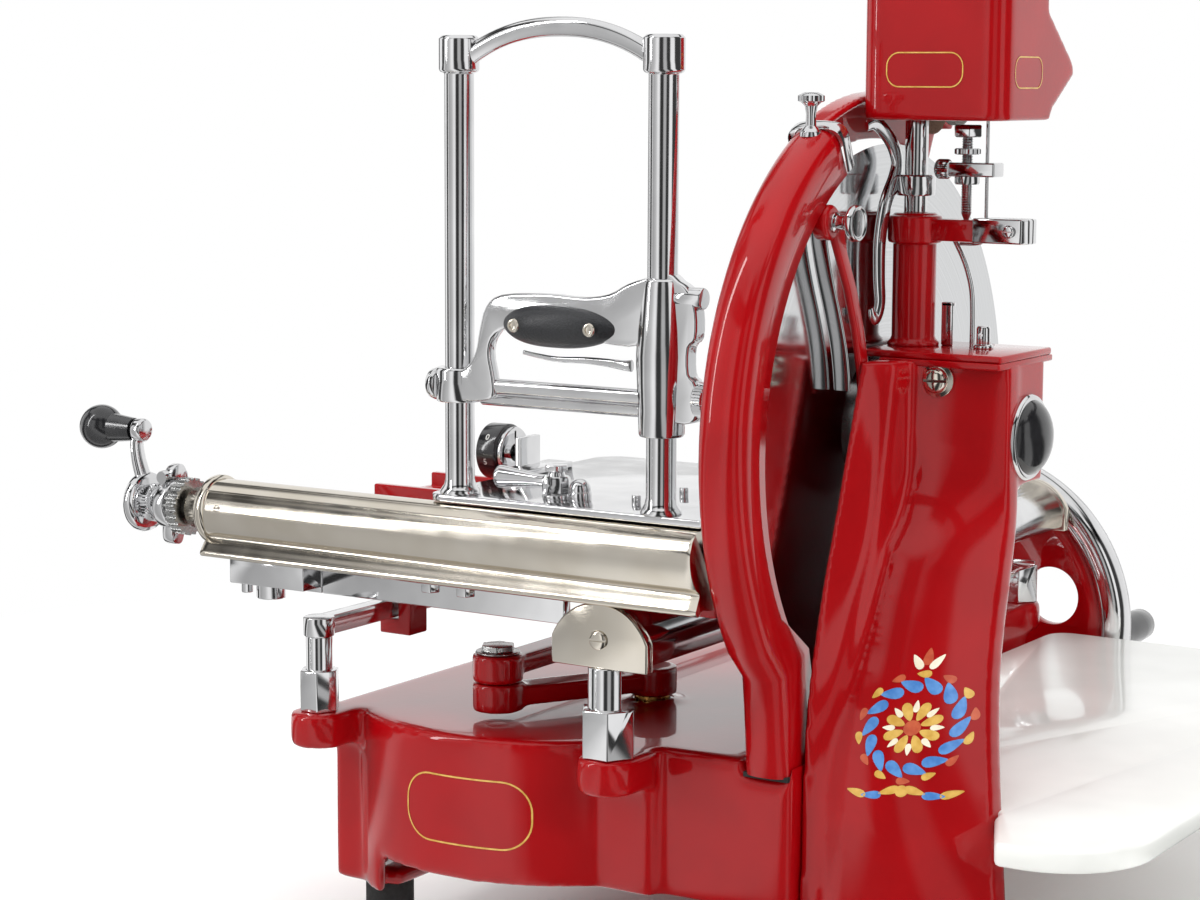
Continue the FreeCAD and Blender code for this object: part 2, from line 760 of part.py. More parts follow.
column_screws = [
    join("big_bolt", rod("big_bolt_flange", "11", "3", big_bolt_seat, "Y"),
         rod("big_bolt_head", "8.5", "9", big_bolt_top, "Y"),
         rod("big_bolt_shank", "5", "34", big_bolt_seat, "Y")),
    rod("small_bolt", "3", "20", ("40", "0 - column_head_half - 40", "blade_height + 38"), "Y"),
]
node(carve("column_cut", made("column", shell.removeSplitter()), *column_screws), "column_housing")

pillar_top_plate = block("pillar_plate", ("pillar_x - 16", "column_head_right"),
                         ("0 - column_head_half - 22", "column_head_half + 14"),
                         ("column_top", "column_top + 5"))
pillar_sleeve = rod(
    "pillar_sleeve", "pillar_radius", "pillar_top - column_top", ("pillar_x", "0", "column_top")
)
pillar_collar = rod("pillar_collar", "pillar_radius + 4", "15", ("pillar_x", "0", "pillar_top - 17"))
pillar_tab = block(
    "pillar_tab",
    ("pillar_x", "pillar_x + 52"),
    ("0 - 9", "9"),
    ("pillar_top - 15", "pillar_top - 4"),
)
pillar_bore = rod("pillar_bore", "pillar_shaft + slide_fit", "120", ("pillar_x", "0", "pillar_top - 80"))
node(
    carve(
        "pillar",
        join("pillar_sum", pillar_top_plate, pillar_sleeve, pillar_collar, pillar_tab),
        pillar_bore,
    ),
    "sharpener_pillar",
)
DOME_CURVE = "(dome_radius*dome_radius + dome_depth*dome_depth)/(2*dome_depth)"
dome_shell = carve(
    "dome_cut",
    shared(
        "dome_cap",
        ball(
            "dome_ball",
            DOME_CURVE,
            (
                "column_head_right + dome_depth - " + DOME_CURVE,
                "0",
                "blade_height",
            ),
        ),
        rod(
            "dome_span",
            "dome_radius",
            "dome_depth + 1",
            ("column_head_right", "0", "blade_height"),
            "X",
        ),
    ),
    rod(
        "dome_hollow",
        "blade_shaft_radius + 6",
        "8.5",
        ("column_head_right", "0", "blade_height"),
        "X",
    ),
)
node(dome_shell, "bearing_dome")
bearings = []
for tag, x in (("left", "column_left"), ("right", "column_head_right - bearing_width")):
    bearings.append(
        carve(
            tag + "_bearing",
            rod(tag + "_race", "bearing_radius", "bearing_width", (x, "0", "blade_height"), "X"),
            rod(
                tag + "_bore",
                "blade_shaft_radius + slide_fit",
                "bearing_width + 2",
                (x + " - 1", "0", "blade_height"),
                "X",
            ),
        )
    )
node(group("bearings", *bearings), "blade_bearings")

# ---------------------------------------------------------------- blade
node(turned_body("blade", [
    ("blade_shaft_radius", "0"),
    ("blade_radius", "0"),
    ("blade_radius", "0.6"),
    ("blade_radius - blade_bevel", "blade_thick"),
    ("blade_shaft_radius", "blade_thick"),
], ("0 - blade_thick/2", "0", "blade_height"), "X"), "blade")
plate = rod(
    "face_plate_disc",
    "blade_hub_radius - 4",
    "3",
    ("0 - blade_thick/2 - 3", "0", "blade_height"),
    "X",
)
screws = []
for index in range(4):
    side_y = (1, 1, -1, -1)[index]
    side_z = (1, -1, 1, -1)[index]
    screws.append(rod("face_screw_%d" % index, "4", "2",
                      ("0 - blade_thick/2 - 5", "%d*blade_hub_radius/2" % side_y,
                       "blade_height + %d*blade_hub_radius/2" % side_z), "X"))
node(join("face_plate", plate, *screws), "blade_face_plate")
node(turned_body("blade_spindle", [
    ("0", "0"),
    ("blade_shaft_radius", "0"),
    ("blade_shaft_radius", "blade_thick"),
    ("blade_hub_radius", "blade_thick"),
    ("blade_hub_radius", "blade_thick + 6"),
    ("blade_shaft_radius*2", "blade_thick + 9"),
    ("blade_shaft_radius*2", "column_left + blade_thick/2 - air_gap"),
    ("blade_shaft_radius", "column_left + blade_thick/2 - air_gap"),
    ("blade_shaft_radius", "column_head_right + blade_thick/2 + 5"),
    ("0", "column_head_right + blade_thick/2 + 5"),
], ("0 - blade_thick/2", "0", "blade_height"), "X"), "blade_shaft")
upper = sprocket(dim.upper_sprocket, 16, dim.blade_shaft_radius, 6)
upper.translate(Vector(dim.chain_x - 3, 0, dim.blade_height))
node(made("upper_sprocket_wheel", upper), "blade_sprocket")
lower = sprocket(dim.lower_sprocket, 24, dim.drive_radius - 1, 6)
lower.translate(Vector(dim.chain_x - 3, 0, dim.drive_z))
node(made("lower_sprocket_wheel", lower), "drive_sprocket")


def chain_side(gap):
    """Filled loop round both sprockets, kept a gap outside their tips."""
    low = dim.lower_sprocket + gap
    high = dim.upper_sprocket + gap
    rise = dim.blade_height - dim.drive_z
    lean = math.asin((low - high) / rise)
    spots = [(low * math.cos(lean), dim.drive_z + low * math.sin(lean)),
             (high * math.cos(lean), dim.blade_height + high * math.sin(lean))]
    spots += [(-y, z) for y, z in reversed(spots)]
    body = across(spots, dim.chain_x - 3, dim.chain_x + 3)
    body = body.fuse(drum(dim.chain_x - 3, 0, dim.drive_z, low, 6, "X"))
    return body.fuse(drum(dim.chain_x - 3, 0, dim.blade_height, high, 6, "X"))


node(
    made("chain", chain_side(dim.air_gap + 5).cut(chain_side(dim.air_gap)).removeSplitter()),
    "drive_chain",
)

# ---------------------------------------------------------------- blade guard and deflector


def arc_band(x0, x1, inner, outer, start, end):
    """Part of a ring about the blade axis; angles in degrees from +Y towards +Z."""
    def spot(radius, angle):
        turn = math.radians(angle)
        return Vector(x0, radius * math.cos(turn), dim.blade_height + radius * math.sin(turn))

    middle = (start + end) / 2
    edges = [
        Part.Arc(spot(outer, start), spot(outer, middle), spot(outer, end)).toShape(),
        Part.LineSegment(spot(outer, end), spot(inner, end)).toShape(),
        Part.Arc(spot(inner, end), spot(inner, middle), spot(inner, start)).toShape(),
        Part.LineSegment(spot(inner, start), spot(outer, start)).toShape(),
    ]
    return Part.Face(Part.Wire(edges)).extrude(Vector(x1 - x0, 0, 0))


GUARD_TOP = 118.0
GUARD_END = 222.0
REAR_END = 64.0
inner_rim = dim.guard_radius - dim.guard_depth
guard_wide = dim.guard_right - dim.guard_left
rear_wide = 18.0
ring = arc_band(dim.guard_left, dim.guard_right, inner_rim, dim.guard_radius, GUARD_TOP, GUARD_END)
guard_foot = Part.makeBox(guard_wide, 34, 64, Vector(dim.guard_left, dim.wing_near, dim.base_top - 8))
guard_foot = guard_foot.cut(drum(dim.guard_left - 1, 0, dim.blade_height, inner_rim, guard_wide + 2, "X"))
channel = arc_band(dim.guard_left + dim.guard_wall, dim.guard_right - dim.guard_wall, inner_rim - 1,
                   dim.guard_radius - dim.guard_wall, GUARD_TOP + 2, GUARD_END - 6)
guard = ring.fuse(guard_foot).cut(channel)
rear = arc_band(dim.guard_left, dim.guard_left + rear_wide, inner_rim, dim.guard_radius, REAR_END, GUARD_TOP)
rear_channel = arc_band(dim.guard_left + dim.guard_wall, dim.guard_left + rear_wide + 3, inner_rim - 1,
                        dim.guard_radius - dim.guard_wall, REAR_END - 1, GUARD_TOP + 1)
rear = rear.cut(rear_channel)
node(made("rear_guard_shape", rear), "rear_guard")
clip_low = dim.guard_left - 3
clip_high = dim.guard_right + 3
clip = arc_band(clip_low, clip_high, inner_rim + 2, dim.guard_radius + 3, GUARD_TOP - 1.5, GUARD_TOP + 3)
clip_boss = drum(2, dim.clip_y, dim.clip_z, 7, 17, "Z")
clip = clip.fuse(clip_boss)
clip = clip.cut(
    arc_band(
        dim.guard_left,
        dim.guard_right,
        inner_rim - 4,
        dim.guard_radius,
        GUARD_TOP - 12,
        GUARD_TOP + 12,
    )
)
clip = sorted(clip.Solids, key=lambda solid: solid.Volume)[-1]
thumbscrews = [
    join(
        "guard_screw",
        rod("guard_screw_stem", "3", "12", ("2", "clip_y", "clip_z + 17")),
        taper("guard_screw_neck", "3", "6", "5", ("2", "clip_y", "clip_z + 26")),
        rod("guard_screw_head", "8", "10", ("2", "clip_y", "clip_z + 31")),
    ),
    join(
        "deflector_screw",
        rod("deflector_screw_stem", "4.5", "14", ("guard_right + 3", "strut_y", "strut_z"), "X"),
        rod("deflector_screw_head", "11", "7", ("guard_right + 17", "strut_y", "strut_z"), "X"),
    ),
]
gasket = block("gasket", ("guard_left", "guard_right"), ("wing_near", "wing_near + 34"),
               ("base_top - 10", "base_top - 8"))


def beside_rim(shares):
    """Points in Y and Z given as shares of the guard's inner rim, from the blade axis."""
    return [(y * inner_rim, dim.blade_height + z * inner_rim) for y, z in shares]


STRUT = beside_rim([(-0.5957, 0.7394), (-0.5106, 0.5532), (-0.4043, 0.3404), (-0.3617, 0.1383)])
strut = across(STRUT + [(y + 12, z) for y, z in reversed(STRUT)], dim.guard_right - 5, dim.column_left)
strut_boss = drum(dim.guard_right, dim.strut_y, dim.strut_z, 9, 3, "X")
strut_boss = strut_boss.fuse(drum(dim.guard_right - 5, dim.strut_y + 8, dim.strut_z, 8, 5, "X"))
strut = strut.fuse(strut_boss).cut(
    drum(dim.guard_left, 0, dim.blade_height, dim.guard_radius + 1, guard_wide, "X").cut(
        drum(dim.guard_left, 0, dim.blade_height, inner_rim, guard_wide, "X")
    )
)
node(made("guard_shape", guard.fuse(strut).removeSplitter()), "blade_guard")
DEFLECTOR = beside_rim([(-0.5745, 0.7021), (-0.5319, 0.5426), (-0.4282, 0.3404), (-0.3883, 0.1596)])
deflector = across([(y - 3, z) for y, z in DEFLECTOR] + [(y, z) for y, z in reversed(DEFLECTOR)],
                   dim.blade_thick + 1, dim.column_left - 0.3)
node(made("deflector_shape", deflector.cut(strut).removeSplitter()), "slice_deflector")
node(group("guard_group", made("guard_clip_shape", clip), gasket, *thumbscrews), "guard_fittings")

# ---------------------------------------------------------------- rails
node(
    shared(
        "main_rail_bar",
        rod(
            "rail_crown",
            "rail_round",
            "rail_far - rail_near",
            ("rail_x", "rail_near", "rail_under"),
            "Y",
        ),
        block(
            "rail_sides",
            ("rail_x - rail_half", "rail_x + rail_half"),
            ("rail_near", "rail_far"),
            ("rail_under", "rail_under + rail_round + 1"),
        ),
    ),
    "main_rail",
)
caps = []
cap_screws = []
rail_posts = []
for tag, cap_y, screw_at, post_y in (
    ("near", "rail_near - rail_cap", "rail_near - rail_cap - 3", "post_near"),
    ("far", "rail_far", "rail_far + rail_cap", "post_far"),
):
    caps.append(
        shared(
            tag + "_cap",
            rod(
                tag + "_cap_crown",
                "rail_round + cap_lip",
                "rail_cap",
                ("rail_x", cap_y, "rail_under"),
                "Y",
            ),
            block(
                tag + "_cap_sides",
                ("rail_x - rail_half - cap_lip", "rail_x + rail_half + cap_lip"),
                (cap_y, cap_y + " + rail_cap"),
                ("rail_under - cap_lip", "rail_under + rail_round + 5"),
            ),
        )
    )
    cap_screws.append(
        rod(tag + "_cap_screw", "6.5", "3", ("rail_x", screw_at, "rail_under + rail_round/2"), "Y")
    )
    rail_posts.append(
        join(
            tag + "_post",
            hexagon(
                tag + "_post_hex",
                "rail_post_hex",
                "rail_post_hex_top - base_top",
                ("rail_x", post_y, "base_top"),
            ),
            rod(
                tag + "_post_round",
                "rail_post_radius",
                "rail_under - cap_lip - rail_post_hex_top",
                ("rail_x", post_y, "rail_post_hex_top"),
            ),
            rod(
                tag + "_post_stud",
                "3.9",
                "cap_lip + 1",
                ("rail_x", post_y, "rail_under - cap_lip - 1"),
            ),
        )
    )
node(group("caps", *caps), "rail_end_caps")
node(group("body_screws", *(column_screws + cap_screws)), "body_screws")
rail_seat = rod(
    "rail_seat", "rail_round", "rail_far - rail_near", ("rail_x", "rail_near", "rail_under"), "Y"
)
guide_parts = [
    block(
        "guide_bar",
        ("guide_x - guide_half", "guide_x + guide_half"),
        ("post_near", "post_far"),
        ("guide_top - guide_depth", "guide_top"),
    )
]
guide_posts = []
for tag, post_y in (("near", "post_near"), ("far", "post_far")):
    guide_parts.append(rod(tag + "_guide_end", "guide_post_radius + 1.5", "guide_depth",
                           ("guide_x", post_y, "guide_top - guide_depth")))
    guide_posts.append(
        join(
            tag + "_guide_post",
            hexagon(
                tag + "_guide_hex",
                "guide_post_hex",
                "guide_post_hex_top - base_top",
                ("guide_x", post_y, "base_top"),
            ),
            rod(
                tag + "_guide_round",
                "guide_post_radius",
                "guide_top - guide_depth - guide_post_hex_top",
                ("guide_x", post_y, "guide_post_hex_top"),
            ),
        )
    )
node(join("guide_sum", *guide_parts), "guide_rail")
rail_posts = [carve(post.Name + "_cut", post, rail_seat) for post in rail_posts]
node(group("posts", *(rail_posts + guide_posts)), "rail_posts")

# ---------------------------------------------------------------- drive under the base
DOWN = Rotation(Vector(1, 0, 0), 180)
FAR = Rotation(Vector(1, 0, 0), -90)
RIGHT = Rotation(Vector(0, 1, 0), 90)
HALF_PITCH = Rotation(Vector(0, 0, 1), 11.25)


def set_gear(name, bore, apex, rotation, shaft_length=0):
    gear = made(name, mitre_gear(bore, 8.0, shaft_length))
    gear.Placement = Placement(Vector(*apex), rotation)
    return gear


crank_apex = (dim.drive_x, dim.crank_y, dim.drive_z)
blade_apex = (dim.drive_x, 0, dim.drive_z)
node(group("drive_pair", set_gear("crank_drive", dim.drive_radius, crank_apex, FAR),
           set_gear("blade_drive", dim.drive_radius, blade_apex, FAR)), "drive_gears")
node(set_gear("crank_driven", dim.drive_radius, crank_apex, DOWN * HALF_PITCH), "crank_gear")
cross_length = dim.column_left + 32 - dim.drive_x - dim.drive_radius - 3
node(
    set_gear("cross_driven", dim.drive_radius - 1, blade_apex, RIGHT * HALF_PITCH, cross_length),
    "cross_shaft",
)
node(
    join(
        "main_shaft",
        rod(
            "main_shaft_bar",
            "drive_radius",
            "wheel_near + 41 - crank_y - drive_radius - 1",
            ("drive_x", "crank_y + drive_radius + 1", "drive_z"),
            "Y",
        ),
        hexagon(
            "main_shaft_nut", "15", "8", ("drive_x", "wheel_near + wheel_width", "drive_z"), "Y"
        ),
    ),
    "flywheel_shaft",
)


def link_bar(start, end, half_width, z0, z1):
    along = Vector(end[0] - start[0], end[1] - start[1], 0)
    side = Vector(-along.y, along.x, 0).normalize() * half_width
    ends = [Vector(start[0], start[1], 0), Vector(end[0], end[1], 0)]
    spots = [ends[0] + side, ends[1] + side, ends[1] - side, ends[0] - side]
    return upright([(spot.x, spot.y) for spot in spots], z0, z1)


hub_at = (dim.drive_x, dim.crank_y)
elbow_at = (dim.elbow_x, dim.elbow_y)
rod_end_at = (dim.elbow_x, dim.elbow_y + dim.rod_length)
arm_top = dim.crank_under + dim.link_thick
link_low = arm_top + dim.air_gap
link_top = link_low + dim.link_thick
cap_top = link_top + dim.link_cap
arm = link_bar(hub_at, elbow_at, dim.elbow_radius - 5, dim.crank_under + 3, arm_top - 3)
for x, y in (hub_at, elbow_at):
    arm = arm.fuse(drum(x, y, dim.crank_under, dim.elbow_radius, dim.link_thick, "Z"))
arm = arm.fuse(
    drum(*hub_at, dim.drive_z - 27, dim.drive_radius, dim.crank_under + 1 - dim.drive_z + 27, "Z")
)
arm = arm.cut(drum(*elbow_at, dim.crank_under - 1, dim.pin_radius, dim.link_thick + 2, "Z"))
node(made("crank_arm_shape", arm.removeSplitter()), "crank_arm")
pin_lid = hexagon("crank_pin_lid", "12", "link_cap - 1.5",
                  ("elbow_x", "elbow_y", "crank_under + 2*link_thick + air_gap + 1.5"))
node(
    join(
        "crank_pin_sum",
        rod(
            "crank_pin_shank",
            "pin_radius",
            "2*link_thick + air_gap + 1",
            ("elbow_x", "elbow_y", "crank_under"),
        ),
        rod(
            "crank_pin_washer",
            "15",
            "1.7",
            ("elbow_x", "elbow_y", "crank_under + 2*link_thick + 1.5*air_gap"),
        ),
        pin_lid,
    ),
    "crank_pin",
)
rod_eye = dim.elbow_radius - 3
link = link_bar(elbow_at, rod_end_at, dim.elbow_radius - 6, link_low + 3, link_top - 3)
link = link.fuse(drum(*elbow_at, link_low, dim.elbow_radius, dim.link_thick, "Z"))
link = link.fuse(drum(*rod_end_at, link_low, rod_eye, cap_top - link_low, "Z"))
link = link.cut(drum(*elbow_at, link_low - 1, dim.pin_radius + dim.slide_fit, 40, "Z"))
node(made("rod_shape", link.removeSplitter()), "connecting_rod")

# ---------------------------------------------------------------- flywheel
wheel_rim = turned_body("wheel_rim", [
    ("wheel_radius - rim_depth", "3"),
    ("wheel_radius - 7", "0"),
    ("wheel_radius", "7"),
    ("wheel_radius", "wheel_width - 7"),
    ("wheel_radius - 7", "wheel_width"),
    ("wheel_radius - rim_depth", "wheel_width - 3"),
], ("drive_x", "wheel_near", "drive_z"), "Y")
windows = []
for index in range(5):
    turn = math.radians(90 + 72 * index)
    x = "drive_x + window_circle*%.5f" % math.cos(turn)
    z = "drive_z + window_circle*%.5f" % math.sin(turn)
    windows.append(rod("window_%d" % index, "window_radius", "web_thick + 20", (x, "wheel_near", z), "Y"))
handle_turn = math.radians(-7)
handle_x = "drive_x + handle_circle*%.5f" % math.cos(handle_turn)
handle_z = "drive_z + handle_circle*%.5f" % math.sin(handle_turn)
spindle = join(
    "spindle_sum",
    rod(
        "spindle_bar",
        "6",
        "handle_length + 18",
        (handle_x, "wheel_near + web_thick + 10", handle_z),
        "Y",
    ),
    rod(
        "spindle_lid",
        "9",
        "3",
        (handle_x, "wheel_near + wheel_width + handle_length + 4.6", handle_z),
        "Y",
    ),
)
wheel_web = join(
    "web_sum",
    wheel_rim,
    spindle,
    rod(
        "web_disc",
        "wheel_radius - rim_depth + 1",
        "web_thick",
        ("drive_x", "wheel_near + 10", "drive_z"),
        "Y",
    ),
    rod(
        "web_hub",
        "drive_radius*3",
        "wheel_width + 10",
        ("drive_x", "wheel_near - 10", "drive_z"),
        "Y",
    ),
)
node(
    carve(
        "web_cut",
        wheel_web,
        rod("web_bore", "drive_radius", "60", ("drive_x", "wheel_near - 20", "drive_z"), "Y"),
        *windows,
    ),
    "flywheel",
)
node(
    carve(
        "grip_cut",
        rod(
            "grip_outer",
            "handle_radius",
            "handle_length",
            (handle_x, "wheel_near + wheel_width + 4", handle_z),
            "Y",
        ),
        rod(
            "grip_bore",
            "6 + slide_fit",
            "handle_length + 2",
            (handle_x, "wheel_near + wheel_width + 3", handle_z),
            "Y",
        ),
    ),
    "handle_grip",
)

# ---------------------------------------------------------------- carriage
slider_top = "deck_under"
slider_low = "rail_under - slide_fit - slider_floor"
rail_bore = shared(
    "rail_bore",
    rod(
        "bore_crown",
        "rail_round + slide_fit",
        "slider_half*2 + 2",
        ("rail_x", "0 - slider_half - 1", "rail_under"),
        "Y",
    ),
    block(
        "bore_sides",
        ("rail_x - rail_half - slide_fit", "rail_x + rail_half + slide_fit"),
        ("0 - slider_half - 1", "slider_half + 1"),
        ("rail_under - slide_fit", "rail_under + rail_round + 2"),
    ),
)
carriage_sum = join(
    "carriage_sum",
    block(
        "carriage_deck",
        ("deck_left", "deck_right"),
        ("deck_near", "deck_far"),
        ("deck_under", "deck_under + deck_thick"),
    ),
    block(
        "slider",
        ("rail_x - rail_half - slider_wall", "rail_x + rail_half + slider_wall"),
        ("0 - slider_half", "slider_half"),
        (slider_low, slider_top + " + 1"),
    ),
    block(
        "guide_leg",
        ("guide_x + guide_half + 2", "guide_x + guide_half + 12"),
        ("deck_near + 54", "deck_near + 74"),
        ("guide_top - guide_depth - 12", "deck_under + 1"),
    ),
    block(
        "guide_toe",
        ("guide_x - guide_half - 2", "guide_x + guide_half + 3"),
        ("deck_near + 54", "deck_near + 74"),
        ("guide_top - guide_depth - 12", "guide_top - guide_depth - air_gap*4"),
    ),
    block(
        "rod_bracket",
        ("elbow_x - 12", "elbow_x + 12"),
        ("deck_far - 1", "elbow_y + rod_length + 12"),
        ("deck_under", "deck_under + 9"),
    ),
    block(
        "apron_toe",
        ("deck_right + 2", "apron_right - 3"),
        ("screw_y + 12", "deck_near + 16"),
        ("crossbar_under + 16", "deck_under + deck_thick"),
    ),
    block(
        "near_gib",
        ("deck_left + 5", "deck_right"),
        ("slide_near + slide_wide + air_gap", "slide_near + slide_wide + 7"),
        ("deck_under + deck_thick - 1", "deck_under + deck_thick + 10"),
    ),
    block(
        "far_gib",
        ("deck_left + 5", "deck_right"),
        ("slide_far - 7", "slide_far - air_gap"),
        ("deck_under + deck_thick - 1", "deck_under + deck_thick + 10"),
    ),
    block(
        "toe_web",
        ("deck_right - 6", "deck_right + 3"),
        ("deck_near", "deck_near + 16"),
        ("deck_under", "deck_under + deck_thick"),
    ),
)
housing_seat = rod(
    "housing_seat",
    "apron_radius",
    "apron_right - apron_left",
    ("apron_left", "screw_y", "screw_z"),
    "X",
)
node(
    carve(
        "carriage_cut",
        carriage_sum,
        rail_bore,
        housing_seat,
        rod(
            "carriage_rod_hole",
            "pin_radius - 1",
            "20",
            ("elbow_x", "elbow_y + rod_length", "deck_under - 5"),
        ),
        rod(
            "roller_axle_hole",
            "3",
            "20",
            ("guide_x + guide_half - 2", "deck_near + 64", "guide_top + guide_post_radius"),
            "X",
        ),
    ),
    "carriage_plate",
)
rod_pin = rod("carriage_rod_pin", "pin_radius - 1",
              "deck_under + 9 - crank_under - 2*link_thick - link_cap - 2*air_gap",
              ("elbow_x", "elbow_y + rod_length", "crank_under + 2*link_thick + link_cap + 2*air_gap"))
node(
    group(
        "carriage_pin_pair",
        rod_pin,
        join(
            "axle_sum",
            rod(
                "axle_bar",
                "3",
                "2*guide_half + 14",
                ("guide_x - guide_half - 2", "deck_near + 64", "guide_top + guide_post_radius"),
                "X",
            ),
            rod(
                "axle_lid",
                "5",
                "2",
                ("guide_x - guide_half - 3", "deck_near + 64", "guide_top + guide_post_radius"),
                "X",
            ),
        ),
    ),
    "carriage_pins",
)
node(
    carve(
        "roller_cut",
        rod(
            "roller_disc",
            "guide_post_radius - slide_fit",
            "2*guide_half",
            ("guide_x - guide_half", "deck_near + 64", "guide_top + guide_post_radius"),
            "X",
        ),
        rod(
            "roller_bore",
            "3 + slide_fit",
            "2*guide_half + 2",
            ("guide_x - guide_half - 1", "deck_near + 64", "guide_top + guide_post_radius"),
            "X",
        ),
    ),
    "guide_roller",
)
front_bar = plate_body(
    "front_bar",
    ("guide_x - 10", "rail_x - 44"),
    ("deck_near - crossbar_thick", "deck_near"),
    ("crossbar_under", "deck_under"),
)
front_ledge = block("front_ledge", ("guide_x - 10", "rail_x - 44"), ("deck_near - 1", "deck_near + 12"),
                    ("deck_under - 8", "deck_under"))
node(carve("front_bar_cut", join("front_bar_sum", front_bar, front_ledge), housing_seat), "front_crossbar")
brackets = [
    block(
        "strap",
        ("guide_x - 8", "tower_left + 42"),
        ("screw_y - 12", "deck_near - crossbar_thick"),
        ("lip_under - 3.5", "lip_under"),
    )
]
for index, x in enumerate(("tower_left - 20", "tower_left + 8")):
    brackets.append(hexagon("strap_bolt_%d" % index, "7", "7", (x, "screw_y", "lip_under - 10.5")))
brackets.append(
    join(
        "side_bracket_sum",
        block(
            "side_bracket",
            ("apron_left + 15", "guide_x - 10"),
            ("screw_y - 8", "deck_near"),
            ("lip_under - 20", "lip_under - 3.5"),
        ),
        block(
            "side_bracket_foot",
            ("guide_x - 26", "guide_x - 10"),
            ("deck_near - crossbar_thick", "deck_near"),
            ("lip_under - 24", "screw_z - apron_radius"),
        ),
        rod("side_bracket_lug", "10", "10", ("apron_left + 40", "screw_y + 6", "lip_under - 30")),
        rod("side_bracket_stud", "4", "8", ("apron_left + 24", "screw_y", "lip_under - 27")),
    )
)
node(group("brackets", *brackets), "apron_brackets")
housing = join(
    "housing_sum",
    rod(
        "housing_tube",
        "apron_radius",
        "apron_right - apron_left",
        ("apron_left", "screw_y", "screw_z"),
        "X",
    ),
    rod(
        "housing_lip",
        "lip_radius",
        "apron_right - apron_left",
        ("apron_left", "screw_y - 4", "screw_z - lip_drop"),
        "X",
    ),
)
bored_housing = carve(
    "housing_cut",
    housing,
    rod(
        "housing_bore",
        "apron_radius - apron_wall",
        "apron_right - apron_left + 2",
        ("apron_left - 1", "screw_y", "screw_z"),
        "X",
    ),
    rod(
        "lip_bore",
        "lip_radius - 3",
        "apron_right - apron_left + 2",
        ("apron_left - 1", "screw_y - 4", "screw_z - lip_drop"),
        "X",
    ),
    block(
        "nut_slot",
        ("nut_x - table_travel - 11", "nut_x + 11"),
        ("screw_y + 4", "screw_y + apron_radius + 1"),
        ("deck_under + deck_thick + 3", "screw_z + apron_radius"),
    ),
)
left_cap = join(
    "left_cap_sum",
    rod("left_cap_disc", "apron_radius", "8", ("apron_left - 8", "screw_y", "screw_z"), "X"),
    rod("left_cap_boss", "14", "14", ("apron_left - 21", "screw_y", "screw_z"), "X"),
)
node(
    group(
        "housing_caps",
        bored_housing,
        carve(
            "left_cap",
            left_cap,
            rod(
                "left_cap_bore",
                "screw_radius + slide_fit",
                "30",
                ("apron_left - 25", "screw_y", "screw_z"),
                "X",
            ),
        ),
        carve(
            "right_cap",
            rod(
                "right_cap_disc",
                "apron_radius - apron_wall",
                "6",
                ("apron_right - 6", "screw_y", "screw_z"),
                "X",
            ),
            rod(
                "right_cap_bore",
                "screw_radius + slide_fit",
                "4",
                ("apron_right - 7", "screw_y", "screw_z"),
                "X",
            ),
        ),
    ),
    "feed_housing",
)

# ---------------------------------------------------------------- feed crank
ratchet = sprocket(20.0, 24, dim.screw_radius, 9)
ratchet.translate(Vector(dim.apron_left - 33, dim.screw_y, dim.screw_z))
node(
    join(
        "feed_screw_sum",
        made("ratchet", ratchet),
        rod(
            "screw_bar",
            "screw_radius",
            "apron_right - feed_hub_left - 4.5",
            ("feed_hub_left + 1", "screw_y", "screw_z"),
            "X",
        ),
    ),
    "feed_screw",
)
pawl = join(
    "pawl_sum",
    rod("pawl_disc", "17", "11", ("apron_left - 47", "screw_y", "screw_z"), "X"),
    block(
        "pawl_ear",
        ("apron_left - 45", "apron_left - 38"),
        ("screw_y - 9", "screw_y + 9"),
        ("screw_z", "screw_z + 27"),
    ),
    block(
        "pawl_tail",
        ("apron_left - 45", "apron_left - 36"),
        ("screw_y - 6", "screw_y + 6"),
        ("screw_z - 25", "screw_z"),
    ),
    rod("pawl_screw", "4", "22", ("apron_left - 41.5", "screw_y - 11", "screw_z + 20"), "Y"),
)
node(
    carve(
        "pawl_cut",
        pawl,
        rod(
            "pawl_bore",
            "screw_radius + air_gap*3",
            "20",
            ("apron_left - 50", "screw_y", "screw_z"),
            "X",
        ),
    ),
    "pawl_arm",
)
crank_sum = join(
    "feed_crank_sum",
    rod("feed_hub", "feed_hub_radius", "9", ("feed_hub_left", "screw_y", "screw_z"), "X"),
    rod("feed_collar", "12", "14", ("feed_hub_left + 8", "screw_y", "screw_z"), "X"),
    block(
        "feed_arm",
        ("feed_hub_left + 1", "feed_hub_left + 9"),
        ("screw_y - 6", "screw_y + 6"),
        ("screw_z", "screw_z + feed_throw"),
    ),
    rod("feed_eye", "8", "9", ("feed_hub_left + 0.5", "screw_y", "screw_z + feed_throw"), "X"),
)
feed_spindle = rod(
    "feed_spindle", "4", "38.5", ("feed_hub_left - 37.5", "screw_y", "screw_z + feed_throw"), "X"
)
node(
    carve(
        "feed_crank_cut",
        join("feed_crank_all", crank_sum, feed_spindle),
        rod(
            "feed_crank_bore",
            "screw_radius",
            "30",
            ("feed_hub_left + 1", "screw_y", "screw_z"),
            "X",
        ),
    ),
    "feed_crank",
)
knob_reach = dim.feed_knob_radius
knob_bore = 4 + 2 * dim.slide_fit
knob_end = 30.5
neck_at = math.sqrt(knob_reach ** 2 - 10.0 ** 2)
